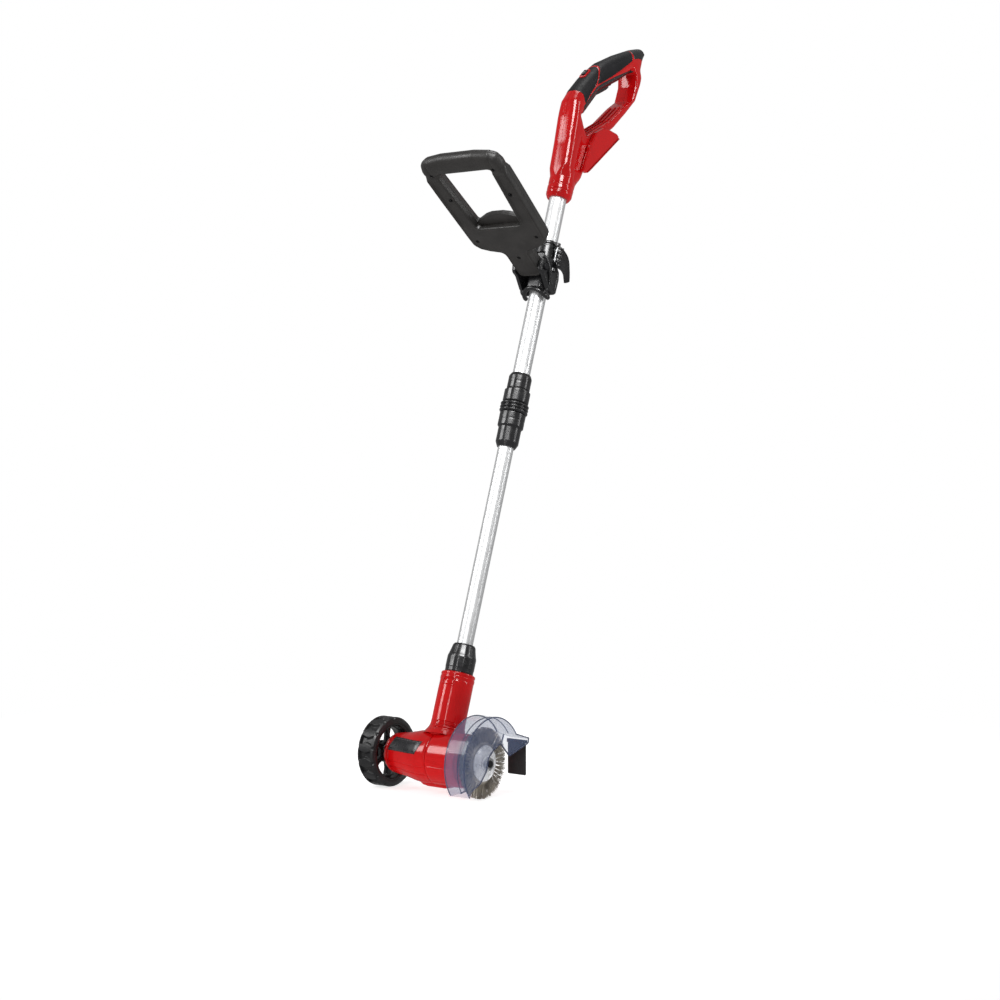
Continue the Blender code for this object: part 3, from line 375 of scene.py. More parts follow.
class Flat:
    """A flat region meshed with its outline, holes, zones and feature lines."""

    def __init__(self, outer, holes=(), zones=(), lines=(), rows=(), spacing=0.003, seam=0.0007):
        self.outer = resample(outer, spacing)
        self.holes = [resample(h, spacing) for h in holes]
        self.zones = [resample(z, spacing) for z in zones]
        self.lines = [resample(line, spacing, False) for line in lines]
        rims = [self.outer] + self.holes
        chains = ([(ring, True) for ring in rims + self.zones]
                  + [(line, False) for line in self.lines])
        points = []
        edges = []
        for ring, closed in chains:
            base = len(points)
            points.extend(ring)
            count = len(ring) if closed else len(ring) - 1
            edges.extend((base + i, base + (i + 1) % len(ring)) for i in range(count))
        extra = []

        def beside(ring, by, closed):
            pts = np.array(ring)
            if closed:
                along = np.roll(pts, -1, axis=0) - np.roll(pts, 1, axis=0)
            else:
                along = np.gradient(pts, axis=0)
            along /= np.maximum(np.linalg.norm(along, axis=1), 1e-9)[:, None]
            normal = np.stack([along[:, 1], -along[:, 0]], axis=1)
            for side in (-1, 1):
                moved = pts + normal * by * side
                keep = distance(ring, moved, closed) > by * 0.92
                extra.extend(moved[keep])

        for by in rows:
            for ring in rims:
                beside(ring, by, True)
        for ring, closed in chains[len(rims):]:
            beside(ring, seam, closed)
        low = np.min(np.array(self.outer), axis=0)
        high = np.max(np.array(self.outer), axis=0)
        xs = np.arange(low[0], high[0], spacing)
        ys = np.arange(low[1], high[1], spacing * 0.87)
        grid = [(x + (spacing / 2 if j % 2 else 0), y) for j, y in enumerate(ys) for x in xs]
        near = np.array(grid)
        clear = np.full(len(near), 1e9)
        for ring, closed in chains:
            clear = np.minimum(clear, distance(ring, near, closed))
        reach = max(list(rows) + [seam]) if rows else seam
        extra.extend(near[clear > max(spacing * 0.5, min(reach + spacing * 0.4, 0.012))])
        extra = np.array(extra)
        ok = inside(self.outer, extra)
        for hole in self.holes:
            ok &= ~inside(hole, extra)
        for ring, closed in chains:
            ok &= distance(ring, extra, closed) > CLOSEST
        points.extend(extra[ok])
        coords, _, faces, _, _, _ = delaunay_2d_cdt(
            [Vector((float(p[0]), float(p[1]))) for p in points], edges, [], 0, 1e-7)
        self.points = np.array([tuple(c) for c in coords])
        tris = np.array([f for f in faces if len(f) == 3])
        middle = self.points[tris].mean(axis=1)
        keep = inside(self.outer, middle)
        for hole in self.holes:
            keep &= ~inside(hole, middle)
        self.tris = tris[keep]
        self.middle = middle[keep]
        self.zone = np.zeros(len(self.tris), int)
        for k, ring in enumerate(self.zones):
            self.zone[inside(ring, self.middle)] = k + 1
        self.rim = distance(self.outer, self.points)
        for hole in self.holes:
            self.rim = np.minimum(self.rim, distance(hole, self.points))
        self.seams = np.full(len(self.points), 1e9)
        for ring in self.zones:
            self.seams = np.minimum(self.seams, distance(ring, self.points))

    def rounded(self, half, radius):
        """Half thickness with its rim rounded; half and radius are numbers or arrays."""
        short = np.clip(radius - self.rim, 0, None)
        return half - radius + np.sqrt(np.clip(radius ** 2 - short ** 2, 0, None))

    def solid(self, zone, top, low):
        """Verts and faces of a zone, or a list of them, between the heights top and low."""
        tris = self.tris[np.isin(self.zone, zone)]
        used = np.unique(tris)
        where = {int(v): i for i, v in enumerate(used)}
        count = len(used)
        verts = [(*self.points[v], height[v]) for height in (top, low) for v in used]
        crown = [[where[int(v)] for v in tri] for tri in tris]
        faces = crown + [[count + v for v in reversed(tri)] for tri in crown]
        sides = {(tri[i], tri[(i + 1) % 3]): True for tri in crown for i in range(3)}
        faces += [[b, a, count + a, count + b] for a, b in sides if (b, a) not in sides]
        return verts, faces


def upright(verts):
    """(across, along, height) to the pole frame, with height along X."""
    return [(h, a, b) for a, b, h in verts]


def facing_back(verts):
    """(across, along, height) with height along Y."""
    return [(a, h, b) for a, b, h in verts]


def sheet_faces(length, width):
    """Faces of two layers of length x width points, and of the wall round them."""
    size = length * width
    faces = []
    for i in range(length - 1):
        for j in range(width - 1):
            a = i * width + j
            faces.append([a, a + width, a + width + 1, a + 1])
            faces.append([size + a, size + a + 1, size + a + width + 1, size + a + width])
        a = i * width
        b = a + width - 1
        faces.append([a, size + a, size + a + width, a + width])
        faces.append([b, b + width, size + b + width, size + b])
    for j in range(width - 1):
        b = (length - 1) * width + j
        faces.append([j, j + 1, size + j + 1, size + j])
        faces.append([b, size + b, size + b + 1, b + 1])
    return faces


def fit_faces(faces, flip):
    return [face[::-1] for face in faces] if flip else faces


def rounded_profile(corners, radius=0.0008, fine=0.0012):
    """A lathe profile whose outer corners are rounded and whose runs are divided."""
    ring = fillet(corners, radius, 3, closed=False)
    return resample(ring, fine, closed=False)


def rod(name, path, radius, matrix, mat, body, sides=8, **rest):
    """A round bar along a path of points, with closed ends."""
    points = [Vector(p) for p in path]
    verts = []
    faces = []
    up = Vector((0.12, 0.31, 0.94))
    count = len(points)
    for i, point in enumerate(points):
        ahead = points[min(i + 1, count - 1)] - points[max(i - 1, 0)]
        side = ahead.cross(up).normalized()
        over = side.cross(ahead).normalized()
        for k in range(sides):
            turn = 2 * math.pi * k / sides
            verts.append(point + (side * math.cos(turn) + over * math.sin(turn)) * radius)
    for i in range(count - 1):
        for k in range(sides):
            n = (k + 1) % sides
            faces.append([i * sides + k, (i + 1) * sides + k, (i + 1) * sides + n, i * sides + n])
    faces.append(list(range(sides)))
    faces.append([(count - 1) * sides + k for k in reversed(range(sides))])
    make(name, verts, faces, matrix, mat, body, **rest)


# ---- Rear handle ----
HANDLE_RING = fillet(mm([
    (-16.5, 861), (16.5, 861), (21, 871), (24, 888), (28, 902), (31, 918), (36, 935),
    (44, 962), (62, 999), (80, 1019), (104, 1056), (123, 1088), (128, 1119), (128, 1163),
    (132, 1176), (119, 1181), (103, 1171), (66, 1142), (28, 1108), (8, 1083), (-3, 1066),
    (-19, 1038), (-26.5, 1016), (-25, 990), (-21.5, 948), (-18.5, 892), (-19.5, 869)]), 0.008, 3)
HANDLE_LONG = mm([(19.8, 820), (19.8, 868)]) + [p for p in HANDLE_RING if p[1] > 0.8705] + mm([
    (-19.5, 869), (-19.5, 820)])
HANDLE_WINDOW = fillet(mm([
    (109, 1131), (115, 1111), (113.6, 1085), (96.9, 1065.8), (67.9, 1025.3), (18.7, 976.9),
    (-4.9, 997.7), (2, 1008), (6, 1012), (30, 1056), (38, 1063.5), (79.7, 1102.6),
    (104.5, 1130)]), 0.0035, 3)
FRONT_GRIP = mm([(-60, 1036), (-20, 1034), (-12, 1030), (-5, 1020), (-2.5, 1020.5),
                 (3.5, 1036), (9, 1050), (13, 1055.5), (15, 1068), (15.2, 1077), (18, 1097),
                 (10, 1130), (-60, 1100)])
REAR_GRIP = mm([(17.5, 1063), (25, 1068.9), (47.4, 1091.4), (69.7, 1115.7), (92.8, 1143.4),
                (91.5, 1161), (80, 1210), (14, 1150), (20.5, 1110), (20.7, 1097), (17.8, 1077)])
CAP = mm([(93, 1161), (97.5, 1149.5), (108, 1156), (119.5, 1159.5), (135, 1162), (145, 1210),
          (84, 1210)])
UNDER_GRIP = mm([(-5.8, 1012.8), (1.1, 1026.7), (16.9, 1057.7), (30.1, 1071.6), (62.5, 1101.2),
                 (98.8, 1131.3), (104.5, 1131.5), (104.5, 1128), (98, 1105), (60, 1060),
                 (25, 1030), (6, 1006)])
BODY_RING = mm([(25.6, 893.5)]) + [p for p in HANDLE_RING if p[1] > 0.8940] + mm([
    (-18.6, 893.5)])
TRIGGER_ROOM = mm([(-1.2, 1009), (14, 1000), (60, 1075), (66, 1085), (60, 1092), (33, 1069),
                   (12, 1043)])
TRIGGER = mm([(5.5, 1012), (10, 1009.4), (33.5, 1053.5), (42, 1061), (56, 1074.5), (61, 1081),
              (58, 1084.5), (52, 1083), (46, 1074), (36, 1066), (27, 1057)])
SKIN = 0.00015


def handle_height(flat):
    """The handle's half thickness, and the level its pieces start from."""
    t = flat.points[:, 0]
    s = flat.points[:, 1]
    outer = distance(HANDLE_LONG, flat.points)
    window = distance(flat.holes[0], flat.points)
    along = np.array([99.0, 95.0]) / math.hypot(99, 95)
    across = (t - 0.006) * along[1] - (s - 1.010) * along[0]
    loop = smooth_step(across, -0.006, 0.010) * smooth_step(s + 0.5 * t, 0.985, 1.005)
    body = 1 - smooth_step(s, 0.8935, 0.9100)
    loop = np.maximum(loop, smooth_step(t, 0.100, 0.108) * (1 - smooth_step(s, 1.128, 1.145)))
    half = 0.0190 - 0.0020 * smooth_step(s, 0.985, 1.040)
    radius = 0.0115 + (0.0188 - 0.0115) * body
    radius = radius + (0.0142 - radius) * smooth_step(s, 1.000, 1.045)
    radius = radius + (0.0055 - radius) * loop
    half = half + (0.0180 - half) * loop
    inner_radius = radius + (0.0022 - radius) * loop
    flat.rim = outer
    height = flat.rounded(half, np.minimum(radius, half - 0.0001))
    flat.rim = window
    height = np.minimum(height, flat.rounded(half, np.minimum(inner_radius, half - 0.0001)))
    flat.rim = np.minimum(outer, window)
    panel = smooth_step(t, 0.0014, 0.0028) * (1 - smooth_step(s, 0.9575, 0.9595))
    height -= 0.0009 * panel
    groove = np.exp(-(flat.seams / 0.0005) ** 2)
    height -= 0.0005 * groove * smooth_step(flat.rim, 0.0, 0.0012)
    room = inside(TRIGGER_ROOM, flat.points)
    low = np.where(room, 0.0080, SKIN)
    return np.maximum(height, low + 0.0004), low


def build_handle():
    flat = Flat(BODY_RING, [HANDLE_WINDOW], zones=[FRONT_GRIP, REAR_GRIP, CAP, UNDER_GRIP],
                lines=[mm([(2, 895), (2, 958)])], spacing=0.0036, seam=0.0008,
                rows=(0.0005, 0.0014, 0.0028, 0.0046, 0.0068, 0.0095, 0.0126))
    top, low = handle_height(flat)
    for key, zone, look, proud, nodes in (
            ("red", 0, RED, 0.0, ("handle_shell_%s",)),
            ("front_grip", 1, GRIP, 0.0004, ("handle_grip",)),
            ("rear_grip", 2, GRIP, 0.0004, ()),
            ("under_grip", 4, BLACK, 0.0002, ()),
            ("end_cap", 3, BLACK, 0.0002, ("handle_cap",))):
        for side, hand in ((1, "right"), (-1, "left")):
            verts, faces = flat.solid(zone, (top + proud) * side, low * side)
            make("handle_%s_%s" % (key, hand), upright(verts), fit_faces(faces, side < 0), POLE,
                 look, "upper", nodes=[node.replace("%s", hand) for node in nodes])

    collar = rounded_profile([
        (0.8620, 0.0132), (0.8945, 0.0132), (0.8945, 0.0186), (0.8934, 0.0192), (0.8835, 0.0192),
        (0.8826, 0.0183), (0.8806, 0.0183), (0.8797, 0.0195), (0.8737, 0.0195), (0.8728, 0.0186),
        (0.8712, 0.0186), (0.8703, 0.0197), (0.8665, 0.0195), (0.8615, 0.0172),
        (0.8610, 0.0160), (0.8610, 0.0134)], 0.0006, 0.0010)

    def behind(a, r, q):
        more = np.interp(a, (0.861, 0.871, 0.888, 0.8945), (0.0, 0.0022, 0.0050, 0.0062))
        return np.where(r > 0.0150, r + more * np.clip(np.sin(q), 0, 1) ** 3, r)
    lathe("handle_collar", collar, 96, POLE, RED, "upper", shape=behind,
          sharp=50)
    inner = mm([(95.2, 1064.6), (67.3, 1025.9), (21.5, 980.9)])
    for k, x in enumerate((-0.0085, 0.0, 0.0085)):
        rod("loop_rib_%d" % k, [(x, a, b) for a, b in fillet(inner, 0.006, 4, closed=False)],
            0.0014, POLE, RED, "upper")

    pad = Flat(fillet(TRIGGER, 0.0025, 3), rows=(0.0004, 0.001, 0.0018, 0.0028), spacing=0.0026)
    ridge = 0.0003 * np.cos(pad.points @ np.array([0.66, 0.75]) * 2 * math.pi / 0.0042)
    crown = pad.rounded(0.0074, 0.0030) + ridge * smooth_step(pad.rim, 0.0005, 0.002) - 0.0003
    verts, faces = pad.solid(0, crown, -crown)
    make("trigger_lever", upright(verts), faces, POLE, BLACK, "trigger", nodes=("trigger",))

    seat = POLE @ Matrix.Translation((0.0, 0.0025, 1.0745)) @ Matrix.Rotation(
        -math.atan2(0.543, 0.840), 4, "X")
    nub = Flat(rectangle(3.5, 5.7, 0.0012, 3), rows=(0.0004, 0.0009, 0.0016), spacing=0.0007)
    ribs = 0.0004 * np.cos(nub.points[:, 1] * 2 * math.pi / 0.0023)
    bulge = -(nub.rounded(0.0045, 0.0016) + ribs * smooth_step(nub.rim, 0.0004, 0.0012))
    verts, faces = nub.solid(0, bulge, np.full(len(nub.points), 0.0024))
    make("lock_slider", facing_back(verts), faces, seat, BLACK, "lock_button",
         nodes=("lock_button",))
    rim = Flat(rectangle(5.4, 10.4, 0.0022), [rectangle(4.1, 9.0, 0.0014)],
               rows=(0.0003, 0.0006), spacing=0.0012)
    edge = -(rim.rounded(0.0, 0.0006) + 0.0026)
    verts, faces = rim.solid(0, edge, np.full(len(rim.points), 0.004))
    make("slider_frame", facing_back(verts), faces, seat, RED, "upper")


build_handle()


# ---- Coupling and neck nut ----
def grooved(facet_count, soft, marks):
    """A polygon section with ring grooves at the marks (station, depth, half width)."""
    polygon = facets(facet_count, soft)

    def shape(a, r, theta):
        out = polygon(a, r, theta)
        for station, depth, wide in marks:
            out = out - depth * np.exp(-((a - station) / wide) ** 4)
        return out
    return shape


def build_coupling():
    bore = 0.0132
    sleeve = rounded_profile([
        (0.5312, bore), (0.5765, bore), (0.5765, 0.0146), (0.5745, 0.0163), (0.5715, 0.0176),
        (0.5532, 0.0176), (0.5524, 0.0167), (0.5512, 0.0167), (0.5500, 0.0198),
        (0.5330, 0.0198), (0.5318, 0.0190), (0.5312, 0.0180)])
    lathe("coupling_upper", sleeve, 96, POLE, BLACK, "upper",
          shape=lambda a, r, q: np.where(
              r > 0.0150, grooved(12, 0.25, ((0.5625, 0.0003, 0.0006),))(a, r, q), r),
          nodes=("coupling_sleeve",), sharp=50)
    profile = [(0.5310, bore), (0.5310, 0.0188)]
    pitch = (0.5308 - 0.5157) / 3
    for k in range(3):
        high = 0.5308 - pitch * k
        for i in range(9):
            u = i / 8
            profile.append((high - 0.0002 - (pitch - 0.0004) * u,
                            0.0190 + 0.0022 * math.sin(math.pi * u) ** 0.6))
    profile += [(0.5156, 0.0188), (0.5156, bore)]
    lathe("coupling_ribs", profile[::-1], 96, POLE, BLACK, "upper",
          shape=lambda a, r, q: np.where(
              r > 0.0185, r * (1 - 0.010 * (0.5 + 0.5 * np.cos(24 * q)) ** 3), r),
          nodes=("coupling_ring",), sharp=50)
    nut = rounded_profile([
        (0.4625, 0.0119), (0.5153, 0.0119), (0.5153, 0.0186), (0.5141, 0.0198), (0.4945, 0.0198),
        (0.4932, 0.0184), (0.4920, 0.0175), (0.4700, 0.0175), (0.4688, 0.0171),
        (0.4640, 0.0148), (0.4625, 0.0136)])
    lathe("coupling_lock_nut", nut, 96, POLE, BLACK, "coupling_nut",
          shape=lambda a, r, q: np.where(
              r > 0.0140, grooved(12, 0.25, ((0.5045, 0.0003, 0.0006),))(a, r, q), r),
          nodes=("coupling_nut",), sharp=50)


def build_neck_nut():
    outer = rounded_profile([
        (0.1218, 0.0186), (0.1400, 0.0186), (0.1415, 0.0123), (0.1640, 0.0123),
        (0.1640, 0.0152), (0.1630, 0.0164), (0.1615, 0.0172), (0.1560, 0.0184),
        (0.1490, 0.0203), (0.1465, 0.0212), (0.1445, 0.0216), (0.1290, 0.0216),
        (0.1284, 0.0213), (0.1230, 0.0212), (0.1218, 0.0205)])

    def shape(a, r, theta):
        return np.where(r > 0.0150, facets(9, 0.18)(a, r * 1.012, theta + 8 * math.pi / 108), r)
    lathe("neck_lock_nut", outer, 108, POLE, BLACK, "neck_nut", shape=shape,
          nodes=("neck_nut",), sharp=28)
    for k in range(5):
        turn = math.radians(318 + 5.5 * k)
        path = [(math.cos(turn) * r, math.sin(turn) * r, z) for r, z in (
            (0.0206, 0.1300), (0.0208, 0.1370), (0.0208, 0.1440))]
        rod("neck_nut_grip_%d" % k, path, 0.0007, POLE, BLACK, "neck_nut")


build_coupling()
build_neck_nut()


# ---- Auxiliary handle, clamp and lever ----
AUX_HALF = mm([(12, -9), (19.5, -6), (20.5, 4), (20.5, 38), (24, 43), (43, 48), (57, 54),
               (65, 63), (66.5, 80), (70, 160), (71.5, 214), (67, 226), (56, 232), (30, 235.5)])
AUX_SCREWS = ((55, 206), (-55, 206), (53.6, 154.4), (-53.6, 154.4), (53.4, 70.5), (-53.4, 70.5),
              (0.0, 31.4))


def build_aux_handle():
    loop = fillet(mirrored(AUX_HALF), 0.010, 4)
    front_window = fillet(mirrored(mm([(36, 95), (40, 98), (41, 110), (47.5, 196),
                                       (46.5, 201), (43, 203.2)])), 0.004, 3)
    back_window = fillet(mirrored(mm([(10, 113.5), (22, 110.5), (33, 105), (40, 101),
                                      (41, 112), (47.5, 196), (46.5, 201), (43, 203.2)])),
                         0.004, 3)
    seats = [circle(0.0030, 14, (x / 1000, y / 1000)) for x, y in AUX_SCREWS]
    rows = (0.0006, 0.0014, 0.0024, 0.0031, 0.0050, 0.0078)
    for name, window, side in (("aux_front_shell", front_window, 1),
                               ("aux_back_shell", back_window, -1)):
        flat = Flat(loop, [window], zones=seats if side > 0 else (), rows=rows,
                    lines=[mm([(-74, 204.5), (74, 204.5)]), mm([(-60, 99), (60, 99)]),
                           mm([(56, 206), (56, 240)]), mm([(-56, 206), (-56, 240)])],
                    spacing=0.0042, seam=0.0006)
        y = flat.points[:, 1]
        x = np.abs(flat.points[:, 0])
        bar = smooth_step(y, 0.196, 0.2035)
        radius = 0.0030 + 0.0062 * bar
        top = flat.rounded(0.0098, np.minimum(radius, 0.0096))
        border = smooth_step(flat.rim, 0.0022, 0.0030) * (1 - bar)
        if side > 0:
            top -= 0.0008 * border
            arm = border * smooth_step(y, 0.099, 0.106) * (1 - smooth_step(y, 0.190, 0.198))
            top -= 0.0022 * arm * smooth_step(flat.rim, 0.0030, 0.0045)
            for x0, y0 in AUX_SCREWS:
                reach = np.hypot(flat.points[:, 0] - x0 / 1000, y - y0 / 1000)
                top = np.where(reach < 0.00295, 0.0062, top)
                top += 0.0006 * np.exp(-((reach - 0.0042) / 0.0008) ** 2)
        else:
            ribs = 0.5 + 0.5 * np.cos(y * 2 * math.pi / 0.012)
            top -= 0.0010 * border * (y < 0.099) * ribs
        top -= 0.0006 * np.exp(-((y - 0.2045) / 0.0008) ** 2) * smooth_step(x, 0.0, 0.01)
        top -= 0.0007 * bar * np.exp(-((x - 0.056) / 0.0008) ** 2)
        top = np.minimum(top, 0.00995)
        low = np.full(len(top), SKIN)
        verts, faces = flat.solid(list(range(len(seats) + 1)), top * side, low * side)
        make(name, verts, fit_faces(faces, side < 0), AUX, AUX_BLACK, "aux_handle",
             nodes=("aux_shell_lower" if side > 0 else "aux_shell_upper",),
             sharp=45)
    head = rounded_profile([(0.0060, 0.0), (0.0060, 0.0026), (0.0078, 0.0026), (0.0084, 0.0020),
                            (0.0084, 0.0)], 0.0003, 0.0004)
    # Dark screw heads set shallow in their seats: partly real screws, partly painted shade of deep
    # screw holes.
    for k, (x0, y0) in enumerate(AUX_SCREWS):
        lathe("aux_screw_%d" % k, head, 20, AUX @ Matrix.Translation((x0 / 1000, y0 / 1000, 0)),
              DARK_STEEL_AND_HOLE_SHADE, "aux_handle", closed=False)


build_aux_handle()


def build_clamp():
    collar = rounded_profile([
        (0.7085, 0.0133), (0.7880, 0.0133), (0.7880, 0.0172), (0.7865, 0.0190), (0.7835, 0.0195),
        (0.7818, 0.0186), (0.7800, 0.0186), (0.7784, 0.0195), (0.7420, 0.0195), (0.7404, 0.0188),
        (0.7388, 0.0188), (0.7372, 0.0195), (0.7120, 0.0195), (0.7095, 0.0182),
        (0.7085, 0.0168)], 0.0008, 0.0014)

    def arched(a, r, q):
        flat_side = np.where((r > 0.0170) & (np.cos(q - math.radians(90)) > 0.93), r - 0.0012, r)
        front = np.clip(np.cos(q - math.radians(270)), 0.5, 1.0)
        room = (a > 0.7120) & (a < 0.7660) & (r > 0.0168)
        return np.where(room, np.minimum(flat_side, 0.0168 / front), flat_side)
    lathe("clamp_collar", collar, 96, POLE, BLACK, "clamp", shape=arched,
          nodes=("aux_clamp",), sharp=50)
    cheek = fillet(mm([(-42.5, 738), (-40, 726.5), (-30, 723.5), (-14, 709), (2, 704), (8, 708),
                       (9, 730), (6, 742), (-6, 752), (-16, 756), (-30, 749.5), (-39, 747)]),
                   0.006, 4)
    inner = [((t + 0.014) * 0.80 - 0.014, (s - 0.731) * 0.78 + 0.731) for t, s in cheek]
    for side, name in ((1, "clamp_cheek_right"), (-1, "clamp_cheek_left")):
        flat = Flat(cheek, zones=[inner], rows=(0.0005, 0.0012, 0.0022), spacing=0.0028,
                    seam=0.0007)
        dish = inside(inner, flat.points) & (flat.seams > 0.0005)
        reach = np.hypot(flat.points[:, 0] + 0.030, flat.points[:, 1] - 0.736)
        top = 0.0215 + flat.rounded(0.0055, 0.0022) - 0.0016 * dish * smooth_step(
            reach, 0.0075, 0.0082)
        verts, faces = flat.solid([0, 1], top * side, np.full(len(top), 0.0210) * side)
        make(name, upright(verts), fit_faces(faces, side < 0), POLE, BLACK, "clamp")
    for k, side in enumerate((1, -1)):
        sweep = [(side * x, t, s) for x, t, s in mm([
            (24.5, -36, 751), (26.2, -30, 747), (27.2, -22, 738), (27.0, -14, 727),
            (25.4, -10, 716), (22.0, -11, 706), (17.5, -12.5, 701)])]
        rod("clamp_strut_%d" % k, smooth_path(sweep), 0.0030, POLE, BLACK, "clamp", sides=12)
    saddle = [(math.cos(a) * 0.0203, math.sin(a) * 0.0203,
               0.7035 + 0.0045 * math.cos(2 * (a - math.radians(270))))
              for a in [math.radians(180 + 180 * i / 24) for i in range(25)]]
    rod("clamp_saddle", saddle, 0.0034, POLE, BLACK, "clamp", sides=12)
    for k, (low, high) in enumerate(((0.7378, 0.7426), (0.7784, 0.7832))):
        lug = rounded_profile([(low, 0.0016), (high, 0.0016), (high, 0.0045), (low, 0.0045)],
                              0.0008, 0.0008)
        lathe("clamp_lug_%d" % k, lug[::-1], 24,
              POLE @ Matrix.Translation((0.024, -0.0085, 0)), BLACK, "clamp")


def build_pivot():
    reach = 0.0272
    bolt = rounded_profile([
        (-reach - 0.0026, 0.0), (-reach - 0.0026, 0.0040), (-reach - 0.0018, 0.0054),
        (-reach, 0.0056), (-reach, 0.0030), (reach, 0.0030), (reach, 0.0056),
        (reach + 0.0018, 0.0054), (reach + 0.0026, 0.0040), (reach + 0.0026, 0.0)],
        0.0004, 0.0020)
    place = POLE @ Matrix.Translation((0, -0.030, 0.736)) @ Matrix.Rotation(math.pi / 2, 4, "Y")
    lathe("pivot_bolt", bolt, 32, place, DARK_STEEL_AND_HOLE_SHADE, "clamp", closed=False,
          nodes=("aux_pivot_bolt",))


def smooth_path(points, parts=6):
    """A Catmull-Rom curve through the points."""
    pts = [Vector(p) for p in points]
    pts = [pts[0] * 2 - pts[1]] + pts + [pts[-1] * 2 - pts[-2]]
    out = []
    for i in range(1, len(pts) - 2):
        a, b, c, d = pts[i - 1:i + 3]
        for k in range(parts):
            u = k / parts
            out.append(0.5 * (2 * b + (c - a) * u + (2 * a - 5 * b + 4 * c - d) * u ** 2
                              + (3 * b - a - 3 * c + d) * u ** 3))
    out.append(pts[-2])
    return [tuple(p) for p in out]


LEVER_ROWS = 41        # points across the plate
LEVER_HALF = 0.0172    # half its height at the pin
LEVER_RIB = 0.0022


def build_lever():
    """The clamp lever: a ribbed plate that curves round the side and droops to a tip."""
    line = smooth_path(mm([(25.2, -9.0, 761), (28.2, -6.0, 760.5), (29.0, 0.0, 760),
                            (28.0, 9.0, 758.5), (25.5, 18.0, 755.0), (22.5, 26.0, 749.5),
                            (20.5, 31.5, 744.0), (19.5, 34.5, 739.5)]), 5)
    count = len(line)
    verts = []
    for layer in (0, 1):
        for i, point in enumerate(line):
            u = i / (count - 1)
            here = Vector(point)
            along = (Vector(line[min(i + 1, count - 1)]) - Vector(line[max(i - 1, 0)]))
            out = Vector((along.y, -along.x, 0.0)).normalized()
            tall = Vector((0, 0, 1)) if u < 0.05 else out.cross(along).normalized()
            tall = tall if tall.z > 0 else -tall
            half = LEVER_HALF * (1 - 0.55 * u ** 1.3)
            grow = float(smooth_step(np.array(u), 0.0, 0.16))
            for j in range(LEVER_ROWS):
                v = 2 * j / (LEVER_ROWS - 1) - 1
                rib = LEVER_RIB * max(0.0, math.cos(4.5 * math.pi * v)) ** 0.7 if layer else 0.0
                rib *= min(1.0, 6 * (1 - abs(v))) if abs(v) < 1 else 0.0
                thick = 0.0012 + 0.0010 * grow if layer else 0.0
                bow = 0.0012 * (1 - v * v)
                reach = v if v > 0 else v * (0.35 + 0.65 * grow)
                verts.append(here + tall * half * reach + out * (thick + (rib + bow) * grow))
    make("lever_plate", verts, sheet_faces(count, LEVER_ROWS), POLE, BLACK, "lever",
         nodes=("clamp_lever",), sharp=50)
    for k in range(4):
        tooth = [(0.0235 + 0.0012 * k, -0.0100 + 0.0040 * k, 0.7740),
                 (0.0240 + 0.0013 * k, -0.0100 + 0.0040 * k, 0.7795)]
        rod("lever_tooth_%d" % k, tooth, 0.0013, POLE, BLACK, "lever")


build_clamp()
build_pivot()
build_lever()


